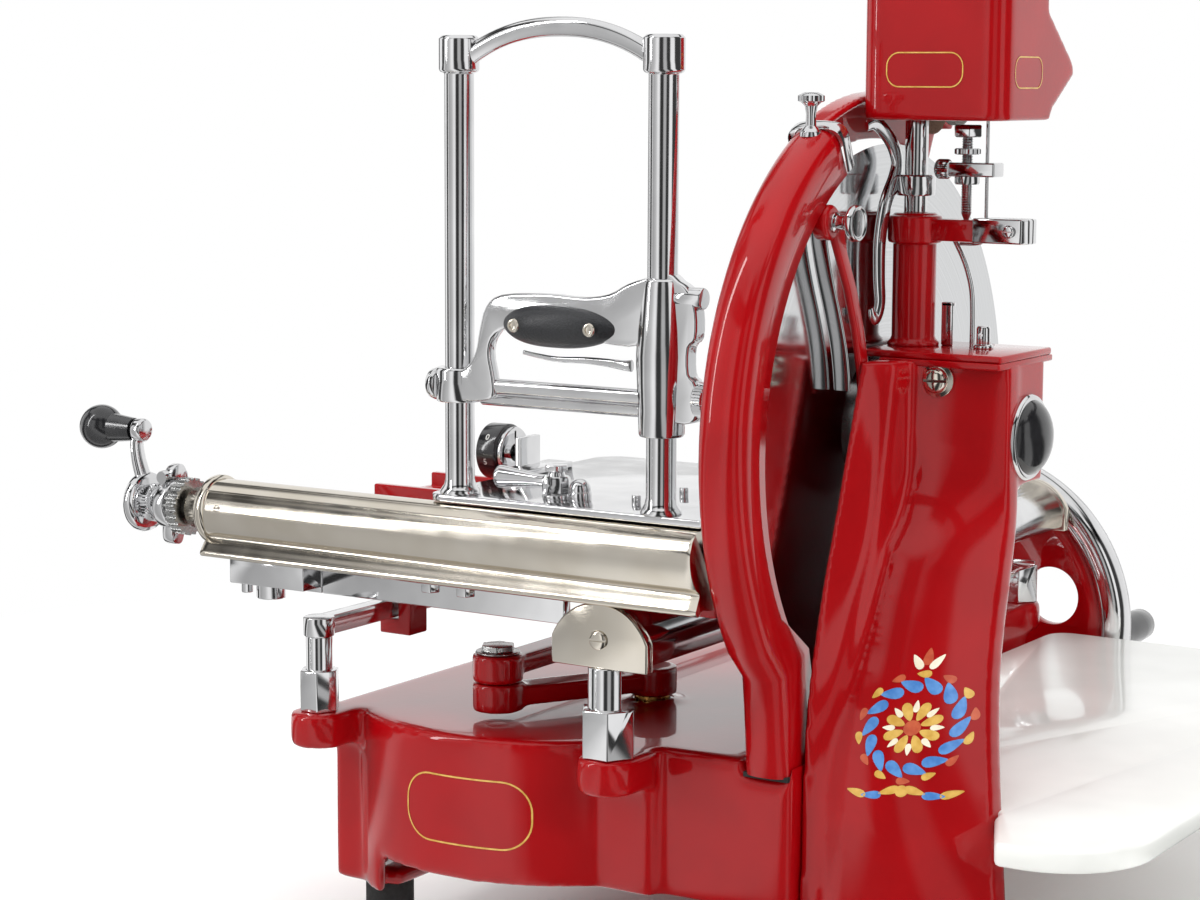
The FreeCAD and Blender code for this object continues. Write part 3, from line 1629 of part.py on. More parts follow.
knob_outline = [
    Part.Arc(Vector(-knob_reach, 0, 0), Vector(0, 0, knob_reach), Vector(neck_at, 0, 10.0)).toShape(),
    Part.LineSegment(Vector(neck_at, 0, 10.0), Vector(knob_end, 0, 8.0)).toShape(),
    Part.LineSegment(Vector(knob_end, 0, 8.0), Vector(knob_end, 0, knob_bore)).toShape(),
    Part.LineSegment(Vector(knob_end, 0, knob_bore), Vector(-3.0, 0, knob_bore)).toShape(),
    Part.LineSegment(Vector(-3.0, 0, knob_bore), Vector(-3.0, 0, 0)).toShape(),
    Part.LineSegment(Vector(-3.0, 0, 0), Vector(-knob_reach, 0, 0)).toShape(),
]
knob = Part.Face(Part.Wire(knob_outline)).revolve(Vector(), Vector(1, 0, 0), 360)
knob.translate(Vector(dim.feed_hub_left - 35.5, dim.screw_y, dim.screw_z + dim.feed_throw))
node(made("feed_knob_shape", knob), "feed_knob")

# ---------------------------------------------------------------- product table
node(plate_body("table_plate", ("table_left", "table_right"), ("table_near", "table_far"),
                ("table_under", "table_under + table_thick"),
                ((-1, 1, "20"), (-1, -1, "12"), (1, -1, "4"), (1, 1, "4"))), "product_table")
slides = [
    block(
        "near_slide",
        ("table_left + 17", "deck_right - 12"),
        ("slide_near", "slide_near + slide_wide"),
        ("deck_under + deck_thick + slide_fit", "table_under"),
    ),
    block(
        "far_slide",
        ("table_left + 17", "deck_right - 12"),
        ("slide_far", "slide_far + slide_wide"),
        ("deck_under + deck_thick + slide_fit", "table_under"),
    ),
]
node(group("slides", *slides), "table_slides")
nut = join(
    "feed_nut_sum",
    rod("feed_nut_ring", "13", "20", ("nut_x - 10", "screw_y", "screw_z"), "X"),
    block(
        "feed_nut_arm",
        ("nut_x - 10", "nut_x + 10"),
        ("screw_y", "deck_near + 12"),
        ("deck_under + deck_thick + 3.3", "deck_under + deck_thick + 9.7"),
    ),
    block(
        "feed_nut_riser",
        ("nut_x - 10", "nut_x + 10"),
        ("screw_y + apron_radius + 1", "deck_near + 12"),
        ("deck_under + deck_thick + 3.3", "table_under"),
    ),
)
node(
    carve(
        "feed_nut_cut",
        nut,
        rod(
            "feed_nut_bore",
            "screw_radius + slide_fit",
            "40",
            ("nut_x - 20", "screw_y", "screw_z"),
            "X",
        ),
    ),
    "feed_nut",
)
table_top = "table_under + table_thick"
posts = []
for tag, x in (("left", "tower_left"), ("right", "tower_right")):
    posts.append(
        join(
            tag + "_tower",
            rod(
                tag + "_tower_bar",
                "tower_radius",
                "tower_top - tower_cap_height - table_under - table_thick",
                (x, "tower_y", table_top),
            ),
            rod(tag + "_collar_ring", "tower_cap_radius", "5", (x, "tower_y", table_top)),
        )
    )
middle_x = (dim.tower_left + dim.tower_right) / 2
arch_z = dim.tower_top - dim.tower_cap_height / 2 + 1.5
arch_line = Part.Arc(
    Vector(dim.tower_left + 8, dim.tower_y, arch_z),
    Vector(middle_x, dim.tower_y, arch_z + dim.arch_rise - 5),
    Vector(dim.tower_right - 8, dim.tower_y, arch_z),
).toShape()
tangent = arch_line.tangentAt(arch_line.FirstParameter)
arch_ring = Part.Wire(
    Part.Circle(Vector(dim.tower_left + 8, dim.tower_y, arch_z), tangent, dim.arch_radius).toShape()
)
arch = Part.Wire(arch_line).makePipeShell([arch_ring], True, True)
for x in (dim.tower_left, dim.tower_right):
    arch = arch.fuse(
        drum(
            x,
            dim.tower_y,
            dim.tower_top - dim.tower_cap_height,
            dim.tower_cap_radius,
            dim.tower_cap_height,
            "Z",
        )
    )
node(group("tower_group", made("arch_shape", arch.removeSplitter()), *posts), "press_tower")
pin_places = (("tower_right - 29", "tower_y + 18"), ("tower_right - 21", "tower_y + 63"))
pins = [rod("table_pin_%d" % index, "3", "7", (x, y, table_top)) for index, (x, y) in enumerate(pin_places)]
dial_bracket = join(
    "dial_bracket_sum",
    block(
        "dial_foot",
        ("table_left - 6", "table_left + 14"),
        ("dial_y - 30", "dial_y + 30"),
        (table_top, table_top + " + 4"),
    ),
    block(
        "dial_ear",
        ("table_left - 6", "table_left - 1"),
        ("dial_y - 12", "dial_y + 12"),
        (table_top, "dial_z + 12"),
    ),
    rod("dial_pin", "4", "32", ("table_left - 37", "dial_y", "dial_z"), "X"),
)
node(
    carve(
        "dial_cut",
        join(
            "dial_sum",
            rod("dial_knob_grip", "11", "11", ("table_left - 37", "dial_y", "dial_z"), "X"),
            rod("dial_rim", "dial_radius", "20", ("table_left - 27", "dial_y", "dial_z"), "X"),
            rod("dial_step", "dial_radius - 4", "2", ("table_left - 9", "dial_y", "dial_z"), "X"),
        ),
        rod("dial_bore", "4 + slide_fit", "40", ("table_left - 40", "dial_y", "dial_z"), "X"),
    ),
    "thickness_dial",
)
node(
    group(
        "table_studs",
        dial_bracket,
        pins[0],
        pins[1],
        join(
            "clamp_stud",
            rod("clamp_stud_bar", "5", "21", ("clamp_x", "clamp_y", table_top)),
            rod("clamp_stud_foot", "9", "3", ("clamp_x", "clamp_y", table_top)),
            hexagon("clamp_stud_top", "8", "4", ("clamp_x", "clamp_y", table_top + " + 18")),
        ),
        join(
            "dome_nut",
            rod("dome_nut_foot", "7.5", "6", ("clamp_x + 18", "clamp_y", table_top)),
            ball("dome_nut_top", "7", ("clamp_x + 18", "clamp_y", table_top + " + 7.5")),
        ),
    ),
    "table_fittings",
)
lever = join("lever_sum", rod("lever_hub", "9.5", "14", ("clamp_x", "clamp_y", table_top + " + 3.3")),
             taper("lever_handle", "9", "5", "38", ("clamp_x - 45", "clamp_y", table_top + " + 12"), "X"))
node(
    carve(
        "lever_cut",
        lever,
        rod("lever_bore", "5 + slide_fit", "30", ("clamp_x", "clamp_y", table_top)),
    ),
    "clamp_lever",
)

# ---------------------------------------------------------------- meat press
press_sum = join(
    "press_sum",
    rod(
        "press_sleeve_body",
        "press_sleeve",
        "press_high - press_low",
        ("tower_right", "tower_y", "press_low"),
    ),
    rod("press_clamp", "tower_cap_radius", "18", ("tower_left", "tower_y", "press_rod_z - 9")),
    block(
        "press_arm",
        ("tower_left", "tower_left + 46"),
        ("tower_y - 9", "tower_y + 9"),
        ("press_rod_z - 9", "press_rod_z + 9"),
    ),
    rod(
        "rod_near",
        "5",
        "tower_right - tower_left - 22",
        ("tower_left + 11", "tower_y - 8", "press_rod_z"),
        "X",
    ),
    rod(
        "rod_far",
        "5",
        "tower_right - tower_left - 22",
        ("tower_left + 11", "tower_y + 8", "press_rod_z"),
        "X",
    ),
    block(
        "trigger_lug",
        ("tower_right - 30", "tower_right - 12"),
        ("tower_y - 3", "tower_y + 3"),
        ("press_grip_z - 29", "press_grip_z - 15"),
    ),
    rod("trigger_pin", "3", "16", ("trigger_x", "tower_y - 15", "trigger_z"), "Y"),
    block(
        "press_wing",
        ("tower_right + 10", "tower_right + 30"),
        ("tower_y - 10", "tower_y + 10"),
        ("press_high - 55", "press_high - 6"),
    ),
)
yoke = upright(
    [
        (-188, 383),
        (-168, 383),
        (-166, 420),
        (-160, 428),
        (-90, 430),
        (-72, 426),
        (-72, 472),
        (-92, 455),
        (-166, 455),
        (-186, 430),
    ],
    0,
    8,
)
yoke.rotate(Vector(), Vector(1, 0, 0), 90)
yoke.translate(Vector(0, dim.tower_y - 3, 0))
node(
    carve(
        "press_cut",
        join("press_all", press_sum, made("press_yoke", yoke)),
        rod(
            "press_bore_right",
            "tower_radius + slide_fit",
            "200",
            ("tower_right", "tower_y", "press_low - 9"),
        ),
        rod(
            "press_bore_left",
            "tower_radius + slide_fit",
            "200",
            ("tower_left", "tower_y", "press_low - 9"),
        ),
        block(
            "press_notch",
            ("tower_right + 20", "tower_right + 31"),
            ("tower_y - 11", "tower_y + 2"),
            ("press_high - 38", "press_high - 28"),
        ),
    ),
    "press_frame",
)


def oval(half_x, half_z, y0, y1, centre):
    ellipse = Part.Ellipse(Vector(), half_x, half_z).toShape()
    shape = Part.Face(Part.Wire(ellipse)).extrude(Vector(0, 0, y1 - y0))
    shape.rotate(Vector(), Vector(1, 0, 0), 90)
    shape.translate(Vector(centre[0], y1, centre[1]))
    return shape


grip_at = (middle_x + 8, dim.press_grip_z)
front = dim.tower_y - 11
grips = made("grip_pair", Part.makeCompound([oval(43, 13.5, front - 13, front, grip_at),
                                          oval(43, 13.5, front + 8, front + 16, grip_at)]))
grip_screws = []
for index, x in enumerate(("tower_left + 56", "tower_left + 112")):
    grip_screws.append(rod("grip_screw_%d" % index, "4", "2.5", (x, "tower_y - 26.5", "press_grip_z"), "Y"))
node(group("grip_screws", grips, *grip_screws), "press_grip")
node(
    carve(
        "trigger_cut",
        join(
            "trigger_sum",
            block(
                "trigger_bar",
                ("trigger_x - 76", "trigger_x"),
                ("tower_y - 10", "tower_y - 3.3"),
                ("trigger_z - 2.5", "trigger_z + 2.5"),
            ),
            rod("trigger_eye", "6", "6.7", ("trigger_x", "tower_y - 10", "trigger_z"), "Y"),
        ),
        rod("trigger_bore", "3 + slide_fit", "20", ("trigger_x", "tower_y - 16", "trigger_z"), "Y"),
    ),
    "press_trigger",
)
node(
    join(
        "lock_sum",
        rod(
            "lock_stem",
            "4",
            "8",
            ("tower_right + press_sleeve + 0.1", "tower_y", "press_rod_z + 3"),
            "X",
        ),
        rod(
            "lock_grip",
            "11",
            "13",
            ("tower_right + press_sleeve + 7", "tower_y", "press_rod_z + 3"),
            "X",
        ),
    ),
    "press_lock_knob",
)

# ---------------------------------------------------------------- sharpener
profile = [
    (dim.hood_near, dim.hood_under),
    (18.0, dim.hood_under),
    (24.0, dim.hood_under + 7),
    (60.0, dim.hood_under + 29),
    (57.0, dim.hood_under + 37),
    (16.0, dim.hood_under + 69),
    (16.0, dim.hood_under + dim.hood_height),
    (dim.hood_near, dim.hood_under + dim.hood_height),
]
hood = across(profile, dim.hood_left, dim.hood_right)
edges = [
    edge
    for edge in hood.Edges
    if abs(edge.BoundBox.YMax - dim.hood_near) < 0.01
    and edge.BoundBox.ZLength > 50
]
hood = hood.makeFillet(14, edges)
top_edges = [edge for edge in hood.Edges if edge.BoundBox.ZMin > dim.hood_under + dim.hood_height - 0.01]
hood = hood.makeFillet(6, top_edges)
hood_wire = Part.makePolygon(
    [Vector(dim.hood_left + dim.hood_wall, y, z) for y, z in profile + profile[:1]]
)
hollow = Part.Face(hood_wire.makeOffset2D(-dim.hood_wall, 2)).extrude(
    Vector(dim.hood_right - dim.hood_left - 2 * dim.hood_wall, 0, 0)
)
hollow = hollow.fuse(
    Part.makeBox(
        dim.hood_right - dim.hood_left - 2 * dim.hood_wall,
        14 - dim.hood_near - dim.hood_wall,
        9,
        Vector(dim.hood_left + dim.hood_wall, dim.hood_near + dim.hood_wall, dim.hood_under - 1),
    )
)
hood = hood.cut(hollow).cut(Part.makeBox(dim.hood_right - dim.hood_left - 2 * dim.hood_wall, 44, 30,
                                         Vector(dim.hood_left + dim.hood_wall, 10, dim.hood_under - 1)))
hood_floor = block(
    "hood_floor",
    ("hood_left + 1", "hood_right - 1"),
    ("hood_near + 14", "6"),
    ("hood_under", "hood_under + 3"),
)
hood_ledge = block(
    "hood_ledge", ("stop_x - 10", "hood_right - 1"), ("5", "17"), ("hood_under", "hood_under + 3")
)
node(carve("hood_cut", join("hood_sum", made("hood_shape", hood.removeSplitter()), hood_floor, hood_ledge),
           rod("floor_hole", "pillar_shaft", "9", ("pillar_x", "0", "hood_under - 3")),
           rod("floor_stop_hole", "4.5", "9", ("stop_x", "0", "hood_under - 3"))), "sharpener_hood")
node(rod("hood_shaft_bar", "pillar_shaft", "hood_under + hood_height - hood_wall - column_top - 20",
         ("pillar_x", "0", "column_top + 20")), "sharpener_shaft")
stop_spindle = join(
    "stop_sum",
    rod(
        "stop_bar",
        "4.5",
        "hood_under - pillar_top + 12",
        ("stop_x", "0", "pillar_top - 4 + slide_fit*2"),
    ),
    hexagon("stop_nut", "9", "10", ("stop_x", "0", "hood_under - 10")),
    rod("stop_ring", "11", "5", ("stop_x", "0", "hood_under - 26")),
    block(
        "stop_block_box",
        ("stop_x - 13", "stop_x + 17"),
        ("0 - 7", "7"),
        ("hood_under - 39", "hood_under - 29"),
    ),
    rod("stop_block_knob", "7", "14", ("stop_x - 23", "0", "hood_under - 34"), "X"),
)
for tag, x0, y, z, radius, thick in (
    ("grinding", 10.0, 32.0, dim.hood_under + 12, dim.stone_radius, dim.stone_thick),
    ("honing", 34.0, 26.0, dim.hood_under + 14, dim.stone_radius - 4, dim.stone_thick - 2),
):
    stone = drum(x0, y, z, radius, thick, "X").cut(drum(x0 - 1, y, z, 5 + dim.slide_fit, 40, "X"))
    node(made(tag + "_stone_shape", stone), tag + "_stone")
spindles = [
    drum(9.0, 32.0, dim.hood_under + 12, 5, 14, "X").fuse(
        drum(20.0, 32.0, dim.hood_under + 12, 7, 5, "X")
    ),
    drum(33.0, 26.0, dim.hood_under + 14, 5, dim.hood_right - dim.hood_wall - 33, "X").fuse(
        drum(43.0, 26.0, dim.hood_under + 14, 9, 24, "X")
    ),
]
node(
    group("spindle_group", stop_spindle, made("spindle_pair", Part.makeCompound(spindles))),
    "sharpener_spindles",
)
# Finger lever: points in Y and in Z below the hood, a hook at the top and a curl at the bottom.
FINGER = [
    (-52.0, 5.0),
    (-30.0, 7.0),
    (-8.0, 18.0),
    (3.0, 37.0),
    (3.0, 47.0),
    (-12.0, 47.0),
    (-22.0, 62.0),
    (-20.0, 125.0),
    (-30.0, 130.0),
    (-40.0, 121.0),
    (-34.0, 57.0),
    (-24.0, 39.0),
    (-40.0, 15.0),
]
finger = across([(y, dim.hood_under - drop) for y, drop in FINGER], 9.0, 12.0)
finger = finger.fuse(
    drum(dim.pillar_x, 0, dim.hood_under - 49, 12, 14, "Z").cut(
        drum(dim.pillar_x, 0, dim.hood_under - 57, dim.pillar_shaft, 30, "Z")
    )
)
wire_end = dim.hood_under - 80
node(
    group(
        "hood_fittings",
        made("finger_shape", finger.removeSplitter()),
        made(
            "hood_wire_shape",
            pipe([(66, 13, dim.hood_under), (66, 13, wire_end), (48, 13, wire_end)], 1.2, 3),
        ),
    ),
    "hood_fittings",
)
wire_route = [(54, 22, dim.column_top + 5), (54, 22, dim.column_top + 42), (38, 22, dim.column_top + 74)]
column_wire = made("column_wire_shape", pipe(wire_route, 1.8, 20))
node(
    group(
        "column_fittings",
        column_wire,
        block("column_clip", ("38", "46"), ("8", "12"), ("column_top + 5", "column_top + 34")),
        rod("column_pin", "4.5", "15", ("72", "0", "column_top + 5")),
    ),
    "column_fittings",
)

# ---------------------------------------------------------------- slice tray
tray = Part.makeBox(dim.tray_right - dim.tray_left, dim.tray_far - dim.tray_near, dim.tray_thick,
                    Vector(dim.tray_left, dim.tray_near, dim.tray_top - dim.tray_thick))


def corner_edge(shape, x, y):
    return [
        edge
        for edge in shape.Edges
        if abs(edge.BoundBox.XMin - x) < 0.01
        and abs(edge.BoundBox.XMax - x) < 0.01
        and abs(edge.BoundBox.YMin - y) < 0.01
        and abs(edge.BoundBox.YMax - y) < 0.01
    ]


tray = tray.makeFillet(62, corner_edge(tray, dim.tray_right, dim.tray_near))
tray = tray.makeFillet(20, corner_edge(tray, dim.tray_left, dim.tray_far))
tray = tray.makeFillet(30, corner_edge(tray, dim.tray_right, dim.tray_far))
tray = tray.cut(Part.makeBox(400, dim.wing_far + dim.air_gap + 300, 100,
                             Vector(dim.wing_right - 400, -300, dim.tray_top - 50)))
tray = tray.cut(outer)
tray = max(tray.Solids, key=lambda solid: solid.Volume)
node(made("tray_shape", tray), "slice_tray")


# ---------------------------------------------------------------- check and write
doc.recompute()
faulty = [item.Label for item in doc.Objects if "Invalid" in item.State or "Error" in item.State]
for item in nodes:
    if item.Shape.isNull() or not item.Shape.isValid():
        faulty.append(item.Label)
if faulty:
    raise RuntimeError("not sound: " + ", ".join(faulty))

whole = Part.makeCompound([item.Shape for item in nodes]).optimalBoundingBox(False)
shift = Vector(-(whole.XMin + whole.XMax) / 2, -(whole.YMin + whole.YMax) / 2, -whole.ZMin)
print("shift %.4f %.4f %.4f" % (shift.x, shift.y, shift.z))
print("size %.3f %.3f %.3f" % (whole.XLength, whole.YLength, whole.ZLength))
os.makedirs("parts", exist_ok=True)
for item in nodes:
    shape = item.Shape.copy()
    shape.translate(shift)
    shape.exportStep("parts/" + item.Label + ".step")
print(len(nodes), "nodes")
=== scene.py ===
import json
import math

import bmesh
import bpy
from mathutils import Matrix, Vector


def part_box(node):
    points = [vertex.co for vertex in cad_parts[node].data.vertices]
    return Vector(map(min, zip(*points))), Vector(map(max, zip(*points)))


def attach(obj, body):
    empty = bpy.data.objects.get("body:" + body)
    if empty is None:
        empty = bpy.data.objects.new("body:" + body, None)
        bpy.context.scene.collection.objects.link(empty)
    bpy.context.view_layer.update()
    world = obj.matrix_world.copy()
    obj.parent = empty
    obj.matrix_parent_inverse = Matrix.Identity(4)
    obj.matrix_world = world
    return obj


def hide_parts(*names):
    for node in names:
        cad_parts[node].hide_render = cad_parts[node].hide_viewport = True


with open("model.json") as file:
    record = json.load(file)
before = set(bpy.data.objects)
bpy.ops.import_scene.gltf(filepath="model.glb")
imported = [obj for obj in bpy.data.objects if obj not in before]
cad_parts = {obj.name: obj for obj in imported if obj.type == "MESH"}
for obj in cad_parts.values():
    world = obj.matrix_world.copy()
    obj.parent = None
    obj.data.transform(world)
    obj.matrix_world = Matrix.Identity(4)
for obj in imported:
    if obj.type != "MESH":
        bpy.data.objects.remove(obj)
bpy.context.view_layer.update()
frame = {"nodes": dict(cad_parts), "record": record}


def rgb(hexCode):
    # an sRGB hex colour in linear values
    parts = [int(hexCode[i:i + 2], 16) / 255 for i in (1, 3, 5)]
    linear = [c / 12.92 if c <= 0.04045 else ((c + 0.055) / 1.055) ** 2.4 for c in parts]
    return (*linear, 1.0)


def addNode(tree, kind, inputs=None, stops=(), **settings):
    # a node with its settings, its inputs as values or sockets, and a ramp's (position, tone) stops
    node = tree.nodes.new("ShaderNode" + kind)
    for name, value in settings.items():
        setattr(node, name, value)
    for name, value in (inputs or {}).items():
        if isinstance(value, bpy.types.NodeSocket):
            tree.links.new(value, node.inputs[name])
        else:
            node.inputs[name].default_value = value
    if stops:
        ramp = node.color_ramp.elements
        ramp[0].position = stops[0][0]
        ramp[1].position = stops[-1][0]
        for position, tone in stops[1:-1]:
            ramp.new(position)
        for element, (position, tone) in zip(ramp, stops):
            element.color = tone if isinstance(tone, tuple) else (tone, tone, tone, 1.0)
    return node


def mottle(tree, place, size, low, high, detail=2.0):
    # soft patches about size metres across, between two colours or values
    noise = addNode(tree, "TexNoise", {"Vector": place, "Scale": 1 / size, "Detail": detail})
    ramp = addNode(tree, "ValToRGB", {"Fac": noise.outputs["Fac"]}, [(0.35, low), (0.65, high)])
    return ramp.outputs["Color"]


def relief(tree, shader, height, depth, strength):
    # a normal from a height pattern, depth metres deep
    values = {"Height": height, "Distance": depth, "Strength": strength}
    tree.links.new(addNode(tree, "Bump", values).outputs["Normal"], shader.inputs["Normal"])


def blend(tree, shader, share, low, high):
    # a colour between two hex colours
    values = {"Factor": share, "A": rgb(low), "B": rgb(high)}
    tone = addNode(tree, "Mix", values, data_type="RGBA")
    tree.links.new(tone.outputs["Result"], shader.inputs["Base Color"])


def opened(material):
    # what patterns of a material join on to
    tree = material.node_tree
    return tree, tree.nodes["Principled BSDF"], tree.nodes["Texture Coordinate"].outputs["Object"]


def newSurface(name, tint=(), wear=(), skin=(), grains=(), **values):
    # a Principled material. tint and wear: size, low, high and detail of patches in colour and roughness.
    # skin: size, detail, depth and strength of fine relief. grains: the same without detail, and two colours.
    material = bpy.data.materials.new(name)
    material.use_nodes = True
    addNode(material.node_tree, "TexCoord")
    tree, shader, place = opened(material)
    for socket, value in values.items():
        shader.inputs[socket.replace("_", " ")].default_value = value
    if tint:
        size, low, high, *detail = tint
        tree.links.new(mottle(tree, place, size, rgb(low), rgb(high), *detail), shader.inputs["Base Color"])
    if wear:
        tree.links.new(mottle(tree, place, *wear), shader.inputs["Roughness"])
    if skin:
        size, detail, depth, strength = skin
        noise = addNode(tree, "TexNoise", {"Vector": place, "Scale": 1 / size, "Detail": detail})
        relief(tree, shader, noise.outputs["Fac"], depth, strength)
    if grains:
        size, depth, strength, low, high = grains
        cells = addNode(tree, "TexVoronoi", {"Vector": place, "Scale": 1 / size}).outputs["Distance"]
        blend(tree, shader, cells, low, high)
        relief(tree, shader, cells, depth, strength)
    return material


def stoveEnamel():
    # stove-baked red enamel on iron: deep colour under a hard glossy film, faint orange peel
    return newSurface("redStoveEnamel", tint=(0.05, "#960107", "#A00209"), skin=(0.004, 1.0, 0.00012, 0.25),
                      Roughness=0.3, IOR=1.45, Coat_Weight=1.0, Coat_Roughness=0.02, Specular_IOR_Level=0.15,
                      Coat_IOR=1.4)


def polishedChrome():
    # chromium plate on polished iron: neutral mirror with faint wipe marks
    return newSurface("polishedChrome", (0.03, "#DCDCDD", "#E6E6E7"), (0.02, 0.07, 0.12, 4.0), Metallic=1.0)


def warmNickel():
    # nickel plate: a little yellower and softer than chromium
    return newSurface("warmNickel", (0.04, "#D8D0C2", "#E2DBCF"), (0.025, 0.10, 0.16, 4.0), Metallic=1.0)


def groundSteel():
    # ground bar and turned shafts: fine grain that blurs the shine
    return newSurface("groundSteel", (0.012, "#A9A9A8", "#B9B9B8"), (0.006, 0.2, 0.3, 5.0),
                      skin=(0.0012, 3.0, 0.00004, 0.3), Metallic=1.0)


def bladeSteel():
    # hardened knife steel, mirror polished in rings about the knife's axis, each about 1.6 mm wide
    material = newSurface("mirrorBladeSteel", wear=(0.03, 0.07, 0.13, 3.0), Metallic=1.0)
    tree, shader, place = opened(material)
    low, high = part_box("blade")
    centred = addNode(tree, "Mapping", {"Vector": place, "Location": tuple(-(low + high) / 2)})
    split = addNode(tree, "SeparateXYZ", {"Vector": centred.outputs["Vector"]}).outputs
    flat = addNode(tree, "CombineXYZ", {"Y": split["Y"], "Z": split["Z"]}).outputs["Vector"]
    far = addNode(tree, "VectorMath", {0: flat}, operation="LENGTH").outputs["Value"]
    rings = addNode(tree, "TexNoise", {"W": far, "Scale": 1 / 0.0016, "Detail": 3.0},
                    noise_dimensions="1D").outputs["Fac"]
    blend(tree, shader, rings, "#D2D3D4", "#E4E5E6")
    relief(tree, shader, rings, 0.00002, 0.25)
    return material


def oiledIron():
    # cut gears and chain, dark with machine oil
    return newSurface("oiledIron", (0.008, "#55534F", "#76746F", 4.0), (0.005, 0.28, 0.42, 4.0), Metallic=1.0,
                      Coat_Weight=0.3, Coat_Roughness=0.2)


def bearingBronze():
    # turned phosphor bronze: warm and a little dull
    return newSurface("bearingBronze", (0.01, "#A4763C", "#BD8D4C"), (0.006, 0.22, 0.34, 4.0), Metallic=1.0)


def blackPhenolic():
    # polished phenolic mouldings, such as knob, dial and wheel grip: deep black with sharp lights
    return newSurface("blackPhenolic", (0.01, "#1A1A1C", "#242426"), (0.006, 0.14, 0.22, 3.0), IOR=1.55,
                      Coat_Weight=0.6, Coat_Roughness=0.05)


def crackleBlack():
    # crackle-finished moulding of the hand grip: shiny grains about 1 mm across
    return newSurface("crackleBlack", grains=(0.0011, 0.0004, 0.6, "#26272B", "#121315"), Roughness=0.38,
                      IOR=1.5, Coat_Weight=0.25, Coat_Roughness=0.25)


def footRubber():
    # moulded black rubber, matt with a light bloom
    return newSurface("footRubber", (0.012, "#1B1B1B", "#262625", 4.0), (0.004, 0.6, 0.78, 4.0),
                      skin=(0.001, 2.0, 0.0001, 0.5), IOR=1.5)


def whiteEnamel():
    # white enamelled tray, glossy and very slightly uneven
    return newSurface("whiteEnamel", tint=(0.06, "#E6E7E3", "#EDEEEA"), skin=(0.006, 1.0, 0.0001, 0.25),
                      Roughness=0.3, IOR=1.5, Coat_Weight=0.6, Coat_Roughness=0.08)


def bondedStone(name, low, high, grit):
    # vitrified grinding wheel: coarse open grit, quite matt
    return newSurface(name, grains=(grit, 0.0005, 0.8, high, low), Roughness=0.88, IOR=1.5)


def handPaint(name, low, high, patch=0.006, **values):
    # enamel paint put on by hand over the stove enamel: flat colour, soft gloss
    return newSurface(name, tint=(patch, low, high), **values)


finish = {
    "red_enamel": stoveEnamel(),
    "chrome": polishedChrome(),
    "nickel": warmNickel(),
    "blade_steel": bladeSteel(),
    "bright_steel": groundSteel(),
    "gear_steel": oiledIron(),
    "bronze": bearingBronze(),
    "black_gloss": blackPhenolic(),
    "black_grain": crackleBlack(),
    "rubber_black": footRubber(),
    "tray_white": whiteEnamel(),
    "stone_brown": bondedStone("brownStone", "#4A3020", "#7A5A44", 0.0009),
    "stone_grey": bondedStone("greyStone", "#6F6E69", "#A3A29C", 0.0007),
}
gloss = {"Roughness": 0.3, "Coat_Weight": 0.5, "Coat_Roughness": 0.1}
paints = {
    "gold": handPaint("goldPaint", "#C99A3C", "#DDB45A", **gloss),
    "blue": handPaint("bluePaint", "#3F78BE", "#5C93D2", **gloss),
    "cream": handPaint("creamPaint", "#E9DEC2", "#F3EAD4", **gloss),
    "rust": handPaint("rustPaint", "#B4472A", "#C65C38", **gloss),
}
figurePaint = handPaint("numberPaint", "#DEDDD8", "#F0EFEA", patch=0.002, Roughness=0.5, IOR=1.5)
for part in frame["record"]["subparts"]:
    mesh = frame["nodes"][part["node"]].data
    mesh.materials.clear()
    mesh.materials.append(finish[part["material_slot"]])
print("materials:", len(finish) + len(paints) + 1)

# studio: a pale table in a white room, with dark screens and bright panels that only mirrors see
studio = {
    "lens": 82.2, "sensor": 36.0, "clip": (0.05, 60), "eye": (0.9563, -1.8028, 0.5919),
    "yaw": 32.43, "pitch": 7.71, "roll": 0.24,
    "floorHalf": 8.0, "floorColours": ("#F4F4F3", "#F6F6F5"), "sky": 0.60, "topTone": 0.95,
    "fade": (0.50, 1.25),  # where the table turns to pure white, in metres from its middle
    "mirrorShare": 0.6,    # how much of the panels a mirror sees in the table's middle
    "panels": [            # round the room: position from 0 at -X through -Y, then its tone
        (0.0, 1.0), (0.035, 1.0), (0.045, 0.05), (0.085, 0.05), (0.095, 0.8), (0.105, 0.8), (0.12, 0.42),
        (0.19, 0.62), (0.225, 1.0), (0.25, 1.0), (0.27, 0.04), (0.315, 0.04), (0.33, 0.5), (0.365, 0.5),
        (0.38, 0.04), (0.42, 0.04), (0.435, 1.0), (0.49, 1.0), (0.505, 0.05), (0.60, 0.05), (0.63, 0.9),
        (0.90, 1.0), (0.925, 0.1), (0.955, 0.1), (0.97, 1.0), (1.0, 1.0),
    ],
    "bands": [(0.0, 1.0), (0.775, 1.0), (0.79, 0.08), (0.83, 0.08), (0.845, 1.0), (1.0, 1.0)],  # by height
    "topShare": [(0.0, 0.0), (0.87, 0.0), (0.90, 1.0), (1.0, 1.0)],  # by height, how much is topTone
    "aimHeight": 0.3,
    "softboxes": [         # name, place, size, watts, seen by mirrors
        ("topBox", (0.1, -0.5, 2.6), (2.2, 2.2), 38.0, False),
        ("leftBox", (-2.3, -1.4, 1.5), (1.6, 1.6), 30.0, False),
        ("leftStrip", (-1.33, -1.8, 1.45), (0.13, 2.1), 11.0, True),
        ("rightBox", (2.4, -0.9, 1.6), (1.6, 1.6), 24.0, False),
        ("backBox", (0.3, 2.6, 1.9), (1.8, 1.8), 22.0, False),
    ],
}
yaw, pitch, roll = (math.radians(studio[key]) for key in ("yaw", "pitch", "roll"))
ahead = Vector((-math.sin(yaw) * math.cos(pitch), math.cos(yaw) * math.cos(pitch), -math.sin(pitch)))
